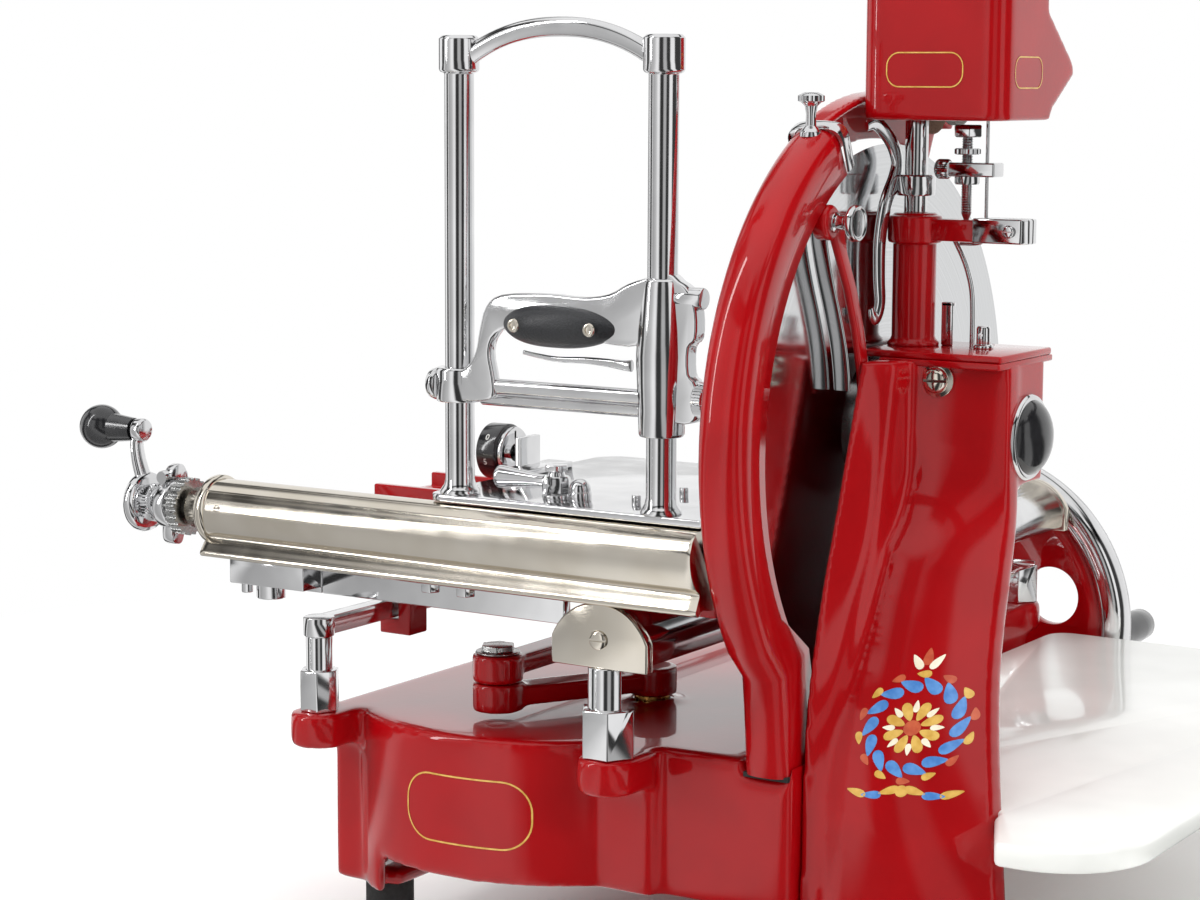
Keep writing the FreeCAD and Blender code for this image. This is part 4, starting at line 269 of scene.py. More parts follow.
side = Vector((math.cos(yaw), math.sin(yaw), 0))
above = side.cross(ahead)
side, above = side * math.cos(roll) + above * math.sin(roll), above * math.cos(roll) - side * math.sin(roll)
lensData = bpy.data.cameras.new("studioCamera")
lensData.lens = studio["lens"]
lensData.sensor_width = studio["sensor"]
lensData.clip_start, lensData.clip_end = studio["clip"]
camera = bpy.data.objects.new("studioCamera", lensData)
bpy.context.scene.collection.objects.link(camera)
facing = Matrix((side, above, -ahead)).transposed().to_4x4()
camera.matrix_world = Matrix.Translation(studio["eye"]) @ facing
bpy.context.scene.camera = camera

for name, where, size, watts, mirrored in studio["softboxes"]:
    lamp = bpy.data.lights.new(name, "AREA")
    lamp.shape = "RECTANGLE"
    lamp.size, lamp.size_y = size
    lamp.energy = watts
    box = bpy.data.objects.new(name, lamp)
    bpy.context.scene.collection.objects.link(box)
    box.location = where
    box.visible_glossy = mirrored
    towards = Vector((0, 0, studio["aimHeight"])) - Vector(where)
    box.rotation_euler = towards.to_track_quat("-Z", "Y").to_euler()

bpy.ops.object.select_all(action="DESELECT")
bpy.ops.mesh.primitive_plane_add(size=2 * studio["floorHalf"], location=(0, 0, 0))
floor = bpy.context.object
floor.name = "studioFloor"
material = newSurface("palePaper", tint=(0.4, *studio["floorColours"]), Roughness=0.85)
tree, shader, place = opened(material)
far = addNode(tree, "VectorMath", {0: place}, operation="LENGTH").outputs["Value"]
path = addNode(tree, "LightPath").outputs
fadeFrom, fadeTo = studio["fade"]
outer = addNode(tree, "MapRange", {"Value": far, "From Min": fadeFrom, "From Max": fadeTo})
inner = addNode(tree, "MapRange", {"Value": far, "From Max": fadeFrom, "To Min": studio["mirrorShare"]})
straight = addNode(tree, "Math", {0: outer.outputs["Result"], 1: path["Is Camera Ray"]},
                   operation="MULTIPLY")
glancing = addNode(tree, "Math", {0: inner.outputs["Result"], 1: path["Is Glossy Ray"]},
                   operation="MULTIPLY")
share = addNode(tree, "Math", {0: straight.outputs["Value"], 1: glancing.outputs["Value"]},
                operation="MAXIMUM")
around = addNode(tree, "TexGradient", {"Vector": place}, gradient_type="RADIAL").outputs["Fac"]
panels = addNode(tree, "ValToRGB", {"Fac": around}, studio["panels"]).outputs["Color"]
backdrop = addNode(tree, "Mix", {"Factor": path["Is Camera Ray"], "A": panels, "B": (1, 1, 1, 1)},
                   data_type="RGBA")
white = addNode(tree, "Emission", {"Color": backdrop.outputs["Result"], "Strength": 1.0})
blended = addNode(tree, "MixShader", {0: share.outputs["Value"], 1: shader.outputs["BSDF"],
                                      2: white.outputs["Emission"]})
tree.links.new(blended.outputs["Shader"], tree.nodes["Material Output"].inputs["Surface"])
floor.data.materials.append(material)

world = bpy.data.worlds.new("paleStudio")
bpy.context.scene.world = world
world.use_nodes = True
tree = world.node_tree
tree.nodes.clear()
aim = addNode(tree, "TexCoord").outputs["Generated"]
height = addNode(tree, "SeparateXYZ", {"Vector": aim}).outputs["Z"]
around = addNode(tree, "TexGradient", {"Vector": aim}, gradient_type="RADIAL").outputs["Fac"]
level = addNode(tree, "MapRange", {"Value": height, "From Min": -1.0}).outputs["Result"]
panels = addNode(tree, "ValToRGB", {"Fac": around}, studio["panels"]).outputs["Color"]
bands, topShare = (addNode(tree, "ValToRGB", {"Fac": level}, studio[key]).outputs["Color"]
                   for key in ("bands", "topShare"))
walls = addNode(tree, "Mix", {"Factor": 1.0, "A": panels, "B": bands}, data_type="RGBA",
                blend_type="MULTIPLY")
room = addNode(tree, "Mix", {"Factor": topShare, "A": walls.outputs["Result"],
                             "B": (*[studio["topTone"]] * 3, 1)}, data_type="RGBA")
path = addNode(tree, "LightPath").outputs
plain = (1, 1, 1, 1)
soft, mirrored, paper = (
    addNode(tree, "Background", {"Color": colour, "Strength": strength}).outputs["Background"]
    for colour, strength in ((plain, studio["sky"]), (room.outputs["Result"], 1.0), (plain, 1.0)))
unseen = addNode(tree, "MixShader", {0: path["Is Glossy Ray"], 1: soft, 2: mirrored})
whole = addNode(tree, "MixShader", {0: path["Is Camera Ray"], 1: unseen.outputs["Shader"], 2: paper})
addNode(tree, "OutputWorld", {"Surface": whole.outputs["Shader"]})
bpy.context.scene.view_settings.view_transform = "Standard"
print("studio: camera, floor and", len(studio["softboxes"]), "softboxes")

shift = (0.1505, -0.1885)  # from the blade's axis to the row frame


def spot(x, y, z):
    # a point of the drawing, in millimetres, as metres in the row frame
    return Vector((x / 1000 + shift[0], y / 1000 + shift[1], z / 1000))


def ordered(axis, a, b, c):
    # a and b lie across the axis, c along it
    return {"X": (c, a, b), "Y": (a, c, b), "Z": (a, b, c)}[axis]


def eased(rows, count):
    # rows of numbers, with smooth in-between rows on a Catmull-Rom curve
    out = []
    for k in range(len(rows) - 1):
        quad = [rows[max(k - 1, 0)], rows[k], rows[k + 1], rows[min(k + 2, len(rows) - 1)]]
        for step in range(count):
            t = step / count
            out.append([0.5 * (2 * b + (c - a) * t + (2 * a - 5 * b + 4 * c - d) * t ** 2
                               + (3 * b - a - 3 * c + d) * t ** 3) for a, b, c, d in zip(*quad)])
    return out + [list(rows[-1])]


def curvy(points, count=3):
    # a closed smooth outline through given points
    loop = [points[-1]] + list(points) + [points[0], points[1]]
    return eased(loop, count)[count:-count - 1]


def deselect():
    if bpy.context.mode != "OBJECT":
        bpy.ops.object.mode_set(mode="OBJECT")
    bpy.ops.object.select_all(action="DESELECT")


def choose(*pieces):
    deselect()
    for piece in pieces:
        piece.select_set(True)
    bpy.context.view_layer.objects.active = pieces[0]


def startCircle(count, fill):
    # a circle of count corners, opened in edit mode
    deselect()
    bpy.ops.mesh.primitive_circle_add(vertices=count, radius=1, fill_type=fill)
    piece = bpy.context.object
    bpy.ops.object.mode_set(mode="EDIT")
    return piece, bmesh.from_edit_mesh(piece.data)


def closeUp(piece):
    bpy.ops.mesh.select_all(action="SELECT")
    bpy.ops.mesh.normals_make_consistent(inside=False)
    bpy.ops.object.mode_set(mode="OBJECT")
    return piece


def applied(piece, kind, **settings):
    choose(piece)
    modifier = piece.modifiers.new(kind.lower(), kind)
    for name, value in settings.items():
        setattr(modifier, name, value)
    bpy.ops.object.modifier_apply(modifier=modifier.name)
    return piece


def soften(piece, width, segments=2, angle=32):
    return applied(piece, "BEVEL", width=width / 1000, segments=segments, limit_method="ANGLE",
                   angle_limit=math.radians(angle), use_clamp_overlap=False, miter_outer="MITER_ARC")


def growRings(rings):
    # a flat polygon on the first ring, extruded from ring to ring
    piece, mesh = startCircle(len(rings[0]), "NGON")
    for vert, point in zip(list(mesh.verts), rings[0]):
        vert.co = point
    mesh.normal_update()
    for before, ring in zip(rings, rings[1:]):
        bmesh.update_edit_mesh(piece.data)
        bpy.ops.mesh.extrude_region_move()
        mesh = bmesh.from_edit_mesh(piece.data)
        goal = {tuple(round(c, 6) for c in point): to for point, to in zip(before, ring)}
        for vert in [v for v in mesh.verts if v.select]:
            vert.co = goal[tuple(round(c, 6) for c in vert.co)]
    bmesh.update_edit_mesh(piece.data)
    return closeUp(piece)


def turned(profile, centre, axis, steps=64, edge=0):
    # (radius, along) pairs spun about an axis through centre, with corners broken by edge
    across = Vector(ordered(axis, 1, 0, 0)) if axis != "X" else Vector((0, 0, 1))
    along = Vector(ordered(axis, 0, 0, 1))
    middle = spot(*centre)
    piece, mesh = startCircle(len(profile), "NOTHING")
    for vert, (radius, height) in zip(list(mesh.verts), profile):
        vert.co = middle + across * (radius / 1000) + along * (height / 1000)
    bmesh.update_edit_mesh(piece.data)
    bpy.ops.mesh.spin(steps=steps, angle=2 * math.pi, center=middle, axis=along, use_auto_merge=True)
    bpy.ops.mesh.select_all(action="SELECT")
    bpy.ops.mesh.remove_doubles(threshold=1e-6)
    bpy.ops.mesh.delete_loose()
    closeUp(piece)
    return soften(piece, edge) if edge else piece


def slab(outline, low, high, axis, edge=0, segments=2):
    # a flat closed outline, as thick as low to high along an axis
    piece = growRings([[spot(*ordered(axis, a, b, c)) for a, b in outline] for c in (low, high)])
    return soften(piece, edge, segments) if edge else piece


def bar(x, y, z, edge=0, segments=2):
    # a cube primitive between two values on each axis
    deselect()
    low, high = spot(x[0], y[0], z[0]), spot(x[1], y[1], z[1])
    bpy.ops.mesh.primitive_cube_add(size=1, location=(low + high) / 2, scale=high - low)
    bpy.ops.object.transform_apply(location=True, rotation=True, scale=True)
    return soften(bpy.context.object, edge, segments) if edge else bpy.context.object


def swept(path, half, sides=16, up=(0, 0, 1), flat=1.0):
    # a rounded bar along a path; half is its half width at each point, flat its depth share
    spots = [Vector(p) for p in path]
    rings = []
    for k, here in enumerate(spots):
        along = (spots[min(k + 1, len(spots) - 1)] - spots[max(k - 1, 0)]).normalized()
        across = along.cross(Vector(up)).normalized()
        over = across.cross(along).normalized()
        wide = half[k] if isinstance(half, list) else half
        ring = []
        for n in range(sides):
            a = 2 * math.pi * n / sides
            point = here + across * (wide * math.cos(a)) + over * (wide * flat * math.sin(a))
            ring.append(spot(*point))
        rings.append(ring)
    return growRings(rings)


def cut(piece, *tools, operation="DIFFERENCE"):
    for tool in tools:
        applied(piece, "BOOLEAN", operation=operation, object=tool, solver="EXACT")
        bpy.data.objects.remove(tool)
    return piece


def slotted(centre, radius, height, sign=-1, dome=1.0, flange=0.0):
    # a round screw head with a driver slot, standing out along Y from centre
    rim = radius * 0.82
    profile = [(0, -0.5 * sign), (max(radius, flange), -0.5 * sign)]
    if flange:
        profile += [(flange, sign * height * 0.22), (radius, sign * height * 0.32)]
    profile += [(radius, sign * height * 0.55), (rim, sign * height * 0.85),
                (rim * 0.6, sign * height * (0.85 + 0.12 * dome)),
                (0, sign * height * (0.85 + 0.15 * dome))]
    head = turned(profile, centre, "Y", 40, min(0.4, height * 0.12))
    reach, wide = radius * 1.1, max(0.45, radius * 0.11)
    x, y, z = centre
    near, far = sorted((sign * height * 0.55, sign * height * 1.2))
    return cut(head, bar((x - reach, x + reach), (y + near, y + far), (z - wide, z + wide)))


def knurled(centre, axis, radius, length, teeth=40, depth=0.8, dome=1.5):
    # a knurled thumb head: a toothed outline between two rounded rims
    x, y, z = centre
    outline = []
    for n in range(teeth * 2):
        a = math.pi * n / teeth
        r = radius - (depth if n % 2 else 0)
        outline.append((r * math.cos(a), r * math.sin(a)))
    levels = ((0, 0.86), (length * 0.14, 1.0), (length * 0.86, 1.0), (length, 0.86), (length + dome, 0.5))
    rings = []
    for along, grow in levels:
        steps = [ordered(axis, a * grow, b * grow, along) for a, b in outline]
        rings.append([spot(x + dx, y + dy, z + dz) for dx, dy, dz in steps])
    return growRings(rings)


def threaded(centre, radius, low, high, pitch, depth):
    # a bar along Z with a ring for each turn of its thread
    turns = int((high - low) / pitch)
    profile = [(0, low)]
    for k in range(turns):
        profile += [(radius - depth, low + k * pitch), (radius, low + k * pitch + pitch / 2)]
    profile += [(radius - depth, low + turns * pitch), (0, low + turns * pitch)]
    return turned(profile, centre, "Z", 32)


def cadCopy(node):
    # a merged copy of a CAD node's mesh, with its flat faces whole again
    source = frame["nodes"][node]
    piece = source.copy()
    piece.data = source.data.copy()
    for key in list(piece.keys()):
        del piece[key]
    piece.parent = None
    bpy.context.scene.collection.objects.link(piece)
    choose(piece)
    bpy.ops.object.mode_set(mode="EDIT")
    bpy.ops.mesh.select_all(action="SELECT")
    bpy.ops.mesh.remove_doubles(threshold=1e-5)
    bpy.ops.mesh.dissolve_limited(angle_limit=math.radians(1.0))
    bpy.ops.object.mode_set(mode="OBJECT")
    return piece


def recast(piece, voxel, passes):
    # rounds every edge and fillets every corner, as a sand casting has them
    applied(piece, "REMESH", mode="VOXEL", voxel_size=voxel / 1000)
    return applied(piece, "SMOOTH", factor=0.5, iterations=passes)


def together(*pieces):
    choose(*pieces)
    bpy.ops.object.join()
    return bpy.context.object


def built(parts):
    # makes the parts and joins them; each is given by its maker and the values that one takes
    return together(*[make(*values) for make, *values in parts.values()])


def camel(node):
    # a node's name, as a piece's name
    first, *rest = node.split("_")
    return first + "".join(word.title() for word in rest)


def finished(piece, node, name=None, slot=None, smooth=35, surface=None, stands=True):
    # names the piece, dresses it and lets it ride with the CAD node, in whose stead it may stand
    members = frame["record"]["behaviour"]["bodies"].items()
    body = next(body for body, nodes in members if node in nodes)
    slots = {part["node"]: part["material_slot"] for part in frame["record"]["subparts"]}
    slot = slot or slots[node]
    piece.name = piece.data.name = name or camel(node)
    choose(piece)
    bpy.ops.object.transform_apply(location=True, rotation=True, scale=True)
    bpy.ops.object.shade_smooth_by_angle(angle=math.radians(smooth))
    piece.data.materials.clear()
    piece.data.materials.append(surface or finish[slot])
    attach(piece, body)
    if stands:
        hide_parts(node)
    return piece


# base: one iron casting, so every corner of it is rounded or filleted
casting = {"voxel": 3.2, "passes": 14}
base = recast(cadCopy("base_casting"), casting["voxel"], casting["passes"])
finished(base, "base_casting", smooth=60)
print("base casting:", len(base.data.polygons), "faces")

# blade guard: a crescent channel round the knife's near side that runs down into a foot
guard = {
    "axisHeight": 366, "outer": 219, "inner": 188, "left": -14, "right": 18, "wall": 5, "lip": 2,
    "bulge": 3.5, "corner": 9, "roll": 0.78, "sides": 22, "top": 118, "bottom": 214, "steps": 34,
    "closing": 0.5, "closed": 0.999,  # how far the slot is filled at the arc's end and in the foot
    "foot": [  # outer and inner points below the arc, in Y and Z
        ((-163.5, 226), (-128.5, 242)), ((-160.5, 205), (-124, 225)), ((-158.5, 184), (-122.5, 204)),
        ((-157, 168), (-122, 178)), ((-156, 162.2), (-122, 162.2)),
    ],
}


def guardSection(outerPoint, innerPoint, filled):
    # one smooth roll over the outer side, and a slot from the inner side
    left, right, lip = guard["left"], guard["right"], guard["lip"]
    corner, bulge, wall, roll = (guard[key] for key in ("corner", "bulge", "wall", "roll"))
    depth = guard["outer"] - guard["inner"]
    half = (right - left) / 2
    outline = []
    for k in range(guard["sides"] + 1):
        a = math.pi * (1 - k / guard["sides"])
        across = math.copysign(abs(math.cos(a)) ** roll, math.cos(a))
        outline.append((left + half + half * across, corner - (corner + bulge) * math.sin(a) ** roll))
    slotDepth = depth + (wall - depth) * (1 - filled)
    outline += [(right, depth - lip), (right - lip, depth), (right - wall, depth), (right - wall, slotDepth),
                (left + wall, slotDepth), (left + wall, depth), (left + lip, depth), (left, depth - lip)]
    ring = []
    for x, inwards in outline:
        share = inwards / depth
        y, z = (a + (b - a) * share for a, b in zip(outerPoint, innerPoint))
        ring.append(spot(x, y, z))
    return ring


rings = []
for k in range(guard["steps"] + 1):
    turn = math.radians(guard["top"] + (guard["bottom"] - guard["top"]) * k / guard["steps"])
    ends = [(reach * math.cos(turn), guard["axisHeight"] + reach * math.sin(turn))
            for reach in (guard["outer"], guard["inner"])]
    rings.append(guardSection(*ends, 0.0 if k < guard["steps"] - 1 else guard["closing"]))
for outerPoint, innerPoint in guard["foot"]:
    rings.append(guardSection(outerPoint, innerPoint, guard["closed"]))
finished(growRings(rings), "blade_guard", "guardCrescent", smooth=50)

# red strut from the guard's boss down to the column
strut = {
    "points": [(-113, 506), (-104, 486), (-90, 462), (-79, 436), (-71, 410), (-68, 392)],
    "x": (16, 21), "half": 6, "headHalf": 9, "edge": 2.0,
    "boss": ([(0, -7), (11, -7), (11, 1), (9, 3), (0, 3)], (18, -112, 505), "X", 64, 0.8),
}
rings = []
for k, (y, z) in enumerate(strut["points"]):
    half = strut["half"] if k else strut["headHalf"]
    near, far = y + 6 - half, y + 6 + half
    left, right = strut["x"]
    rings.append([spot(left, near, z), spot(right, near, z), spot(right, far, z), spot(left, far, z)])
arm = soften(growRings(rings), strut["edge"], 3)
finished(together(arm, turned(*strut["boss"])), "blade_guard", "guardStrut", stands=False)
print("guard")

# column: a swelling casting with a flat joint flange, a rib down its edge and a bearing head
column = {
    "rows": [  # height, flange edge, rib crest, valley, right edge, its place along Y, far side
        (46, -146, -146, -147, 148, -124, 58),
        (80, -146, -146, -147, 141, -115, 58),
        (123, -145, -144, -145, 133, -104, 58),
        (164, -144, -141, -141, 126, -95, 58),
        (206, -142, -131, -128, 117, -79, 58),
        (236, -137, -116, -108, 112, -66, 58),
        (266, -129, -106, -94, 108.5, -50, 57),
        (290, -123, -90, -78, 106, -38, 56),
        (315, -113, -79, -66, 105, -31, 55),
        (340, -104, -74, -59, 104.5, -27, 54),
        (366, -94, -69, -53, 104, -26, 52),
        (392, -84, -66, -49, 104, -25.5, 50),
        (416, -76, -62, -46, 104, -25.5, 48),
    ],
    "evening": 6, "nearLeft": 44, "nearSteps": 16, "slope": 1.5, "bulge": 5.0,
    "headStart": 300, "headFull": 345, "headValley": -45.5, "headRight": -31, "headShare": 0.8,
    "head": ((20, 104), (-25.5, 25.5), (336, 416)), "voxel": 2.4, "passes": 9,
    "bearing": ([(0, -4), (17.5, -4), (17.5, 12.5), (0, 12.5)], (20, 0, 366), "X"),
    "fettled": {"left": 52, "low": 60, "high": 405, "facing": 0.55, "factor": 0.6, "passes": 140},
}


def swell(height):
    # the near face bulges on the leg and is flat on the head
    return max(0.0, min(1.0, (column["headFull"] - height) / (column["headFull"] - column["headStart"])))


profile = eased(column["rows"], 3)
for step in range(column["evening"]):
    threes = zip(profile, profile[1:], profile[2:])
    profile[1:-1] = [[(a + 2 * b + c) / 4 for a, b, c in zip(*three)] for three in threes]
rings = []
for height, edge, rib, valley, right, rightY, far in profile:
    flat = 1 - swell(height)
    valley += (column["headValley"] - valley) * flat * column["headShare"]
    rightY += (column["headRight"] - rightY) * flat
    outline = [(20, edge), (27, (edge + rib) / 2 + 1), (34, rib), (38, rib + 1.5)]
    for step in range(column["nearSteps"] + 1):
        t = step / column["nearSteps"]
        ease = t ** column["slope"]
        y = valley * (1 - ease) + rightY * ease - column["bulge"] * math.sin(math.pi * t) * swell(height)
        outline.append((column["nearLeft"] + (right - column["nearLeft"]) * t, y))
    outline += [(right + 1, rightY + 14), (right - 14, rightY + 45), (58, far), (20, far)]
    rings.append([spot(x, y, height) for x, y in outline])
columnShell = recast(together(growRings(rings), bar(*column["head"])), column["voxel"], column["passes"])

# the near face is fettled smooth, so that it mirrors in long clean streaks
fettled = column["fettled"]
low, high = spot(fettled["left"], 0, fettled["low"]), spot(0, 0, fettled["high"])
nearFace = [v.index for v in columnShell.data.vertices
            if v.co.x > low.x and low.z < v.co.z < high.z and v.normal.y < -fettled["facing"]]
columnShell.vertex_groups.new(name="nearFace").add(nearFace, 1.0, "REPLACE")
applied(columnShell, "SMOOTH", factor=fettled["factor"], iterations=fettled["passes"],
        vertex_group="nearFace")
cut(columnShell, turned(*column["bearing"]))
finished(columnShell, "column_housing", "columnCasting", smooth=60)
print("column:", len(columnShell.data.polygons), "faces")

# feed housing: one drawn section with two bright bands, a groove and a flared lip with a bead
housing = {
    "axis": (-186, 298), "left": -411, "right": -21, "stations": (-300, -200, -100), "lean": 0.16,
    "outline": [(0, 22), (-9, 20.6), (-15.5, 16.2), (-17, 14.2), (-20.4, 9), (-22, 3), (-22.2, -3),
                (-20.8, -9), (-18.2, -13.6), (-15.6, -15.6), (-16.2, -17.6), (-18.4, -20.2), (-20.8, -23.4),
                (-22.4, -25.6), (-22.6, -27.6), (-21, -29), (-18.6, -28.6), (-14, -26), (-2, -27.5), (8, -21),
                (19, -12), (22, 0), (18, 13), (9, 20)],
    "flange": [(0, -3), (23.5, -3), (24.2, -1), (24.2, 2.6), (22, 4), (0, 4)],
    "neck": [(0, -21), (13, -21), (14, -19), (14, -9), (17, -8), (20.5, -6.5), (22, -3), (0, -3)],
    "screw": (16, -20.4, 4), "screwSize": (3.2, 2.2),  # its place from the housing's left end
}
left, right = housing["left"], housing["right"]
cy, cz = housing["axis"]
loop = eased(housing["outline"] + [housing["outline"][0]], 3)[:-1]
rings = []
for x in (left + 1.2, left + 6, *housing["stations"], right - 6, right - 2):
    lean = housing["lean"] if x == right - 2 else 0
    rings.append([spot(x - lean * (dz - 4), cy + dy, cz + dz) for dy, dz in loop])
tube = soften(growRings(rings), 0.5, 2, 50)
flange = turned(housing["flange"], (left, cy, cz), "X", 64, 0.6)
neck = turned(housing["neck"], (left, cy, cz), "X", 64, 0.7)
dx, dy, dz = housing["screw"]
endScrew = slotted((left + dx, cy + dy, cz + dz), *housing["screwSize"])
finished(together(tube, flange, neck, endScrew), "feed_housing", smooth=38)

# feed crank: bent arm, a clamp boss with a knurled ring, and an eye with its pin
crank = {
    "arm": [(-476, -186, 300), (-478, -187.5, 314), (-482, -188, 328), (-484, -187, 340), (-481, -186, 348)],
    "armHalf": (7.5, 2.6), "armFlat": 0.62,  # the half width at its foot and how much it loses
    "head": {
        "disc": (turned, [(0, 0), (17, 0), (20.4, 1.4), (21, 4), (20.4, 7), (17, 9), (0, 9)],
                 (-482, -186, 298), "X", 64, 0.5),
        "cup": (turned, [(0, -3.4), (6, -3.4), (9, -2), (11.5, 0), (0, 0)], (-482, -186, 298), "X", 64, 0.6),
        "collar": (knurled, (-473, -186, 298), "X", 13.2, 8.5, 36, 0.9, 0.4),
        "waist": (turned, [(0, 0), (10, 0), (10, 3.5), (12.4, 5), (12.4, 7), (0, 7)], (-466, -186, 298),
                  "X", 64, 0.4),
        "eye": (turned, [(0, 0), (7, 0), (8.2, 1.5), (8.2, 7), (7, 8.8), (0, 8.8)], (-485.5, -186, 348),
                "X", 64, 0.5),
        "pin": (turned, [(0, -34), (3.9, -34), (3.9, 4), (0, 4)], (-485.5, -186, 348), "X", 24),
    },
}
path = eased(crank["arm"], 4)
wide, taper = crank["armHalf"]
arm = swept(path, [wide - taper * k / (len(path) - 1) for k in range(len(path))], 18, (1, 0, 0),
            crank["armFlat"])
finished(together(arm, built(crank["head"])), "feed_crank")

# pawl arm: a split ring with an ear and a tail, closed by a screw
pawl = {
    "ring": (turned, [(8, 0), (15, 0), (17, 1.5), (17, 9.5), (15, 11), (8, 11)], (-458, -186, 298),
             "X", 64, 0.6),
    "screw": (turned, [(0, -12), (4.4, -12), (5, -10.5), (5, -7), (3.2, -6.5), (3.2, 12), (0, 12)],
              (-452.5, -186, 318), "Y", 24),
    "tail": (slab, curvy([(-192, 290), (-194, 276), (-189, 271), (-182, 273), (-180, 290)], 4),
             -456, -447, "X", 1.0),
    "ear": (slab, curvy([(-193, 308), (-191, 321), (-184, 326), (-177, 324), (-174, 312)], 4),
            -456, -449, "X", 1.0),
}
finished(built(pawl), "pawl_arm")
print("feed works")

# press tower: two turned posts with foot collars and caps, and the arch between them
tower = {
    "xs": (-212, -60), "y": -181, "middle": -136, "reach": 66,
    "post": [(0, 325.6), (13, 325.6), (13, 327.6), (11.8, 329.6), (10.3, 331.6), (9.5, 335.6), (9.5, 595),
             (12, 596), (13, 597.5), (13, 617), (11, 619), (0, 619.4)],
    "archLow": 607, "archTop": 624, "archHalf": 6.2, "archPower": 2.3, "archSteps": 24,
}
posts = [turned(tower["post"], (x, tower["y"], 0), "Z", 72, 0.5) for x in tower["xs"]]
path = []
for k in range(tower["archSteps"] + 1):
    t = 2 * k / tower["archSteps"] - 1
    rise = (tower["archTop"] - tower["archLow"]) * (1 - abs(t) ** tower["archPower"])
    path.append((tower["middle"] + tower["reach"] * t, tower["y"], tower["archLow"] + rise))
arch = swept(path, tower["archHalf"], 20, (0, 1, 0), 0.8)
finished(together(*posts, arch), "press_tower")

# press frame: tapered sleeve with its wing, yoke plate, left clamp with a domed knob, two cross rods
press = {
    "sleeve": (turned, [(9.8, 374), (13.6, 374), (14.4, 376), (14.8, 390), (15.6, 408), (16.2, 424),
                        (15.6, 440), (14.2, 455), (13.2, 466), (12.6, 470), (11.4, 471.4), (9.8, 471.4)],
               (-60, -181, 0), "Z", 80, 0.4),
    "wing": (slab, curvy([(-58, 470), (-46, 470), (-38, 464), (-33, 452), (-33, 436), (-38, 430),
                          (-38, 414), (-33, 408), (-31, 392), (-36, 384), (-50, 384), (-58, 392)]),
             -187, -175, "Y", 1.6, 3),
    "plate": (slab, curvy([(-222, 391), (-224, 398), (-220, 405), (-205, 407), (-198, 411), (-192, 420),
                           (-189, 434), (-184, 449), (-172, 457), (-140, 459), (-112, 458), (-92, 461),
                           (-78, 468), (-62, 471), (-60, 455), (-66, 436), (-78, 429), (-120, 433),
                           (-160, 437), (-176, 432), (-181, 420), (-178, 404), (-178, 392), (-190, 388),
                           (-208, 388)]), -193, -184, "Y", 2.2, 3),
    "clamp": (turned, [(10, 386), (14.6, 386), (15.6, 388), (15.6, 406), (14.6, 408), (10, 408)],
              (-212, -181, 0), "Z", 64, 0.5),
    "knob": (turned, [(0, 0), (6.5, 0), (9.5, -1), (10.5, -3), (9.5, -6.5), (6, -8.6), (0, -9.4)],
             (-222, -187, 397), "X", 64, 0.4),
    "nearRod": (turned, [(0, -196), (5, -196), (5, -70), (0, -70)], (0, -187, 398), "X", 40),
    "farRod": (turned, [(0, -196), (5, -196), (5, -70), (0, -70)], (0, -177, 389), "X", 40),
    "stub": (turned, [(0, -52), (6.2, -52), (6.8, -51), (6.8, -31), (6.2, -30), (0, -30)],
             (0, -181, 460), "X", 40, 0.4),
}
finished(built(press), "press_frame", smooth=40)

# hand grip: black crackle oval, rounder at its left end, with two bright socket screws
grip = {
    "middle": -128, "reach": 43, "y": -190.5, "z": 439, "half": 13.6, "powers": (2.9, 2.15), "bow": 0.62,
    "steps": 16, "screw": [(0, 0), (4.2, 0), (4.4, -1.4), (3.8, -2.4), (2.2, -2.6), (2.2, -1.2), (0, -1.2)],
    "screws": (-156, -100), "seat": -201.1,
}
profile = []
for k in range(2 * grip["steps"] + 1):
    t = -1 + k / grip["steps"]
    power = grip["powers"][0 if t < 0 else 1]
    radius = grip["half"] * max(0, 1 - abs(t) ** power) ** grip["bow"]
    profile.append((radius, grip["middle"] + grip["reach"] * t))
finished(turned(profile, (0, grip["y"], grip["z"]), "X", 56), "press_grip", smooth=70)
screws = [turned(grip["screw"], (x, grip["seat"], grip["z"]), "Y", 32, 0.2) for x in grip["screws"]]
finished(together(*screws), "press_grip", "gripScrews", slot="nickel", stands=False)

# release bar: a thin strip that swells and curls under the grip
trigger = {
    "y": -187.5, "thin": 1.4, "grow": 2.4, "power": 1.6,
    "path": [(-158, 421), (-148, 419.5), (-132, 418), (-112, 418.5), (-96, 418), (-84, 417), (-78, 417)],
}
path = eased([(x, trigger["y"], z) for x, z in trigger["path"]], 4)
halves = [trigger["thin"] + trigger["grow"] * (k / (len(path) - 1)) ** trigger["power"]
          for k in range(len(path))]
finished(swept(path, halves, 14, (0, 1, 0), 0.8), "press_trigger")

# lock knob: knurled, on a short neck
lock = {
    "knob": (knurled, (-34.5, -181, 398), "X", 11, 8.5, 32, 0.8, 1.2),
    "neck": (turned, [(0, -10), (6, -10), (6, 0), (0, 0)], (-34.4, -181, 398), "X", 32, 0.4),
}
finished(built(lock), "press_lock_knob")
print("press")

# sharpener hood: a deep box with round upright corners and a sloped back, open below
hood = {
    "x": (5, 105), "near": -52, "far": 62, "z": (567, 659), "corner": 14,
    "side": [(-52, 567), (22, 567), (26, 574), (60, 596), (57, 604), (17, 636), (17, 659), (-52, 659)],
    "hollow": {"x": (10, 100), "near": -47, "far": 14, "z": (560, 652), "corner": 10},
    "mouth": [(12, 560), (24, 572), (54, 595), (50, 601), (12, 628)], "voxel": 1.7, "passes": 12,
}


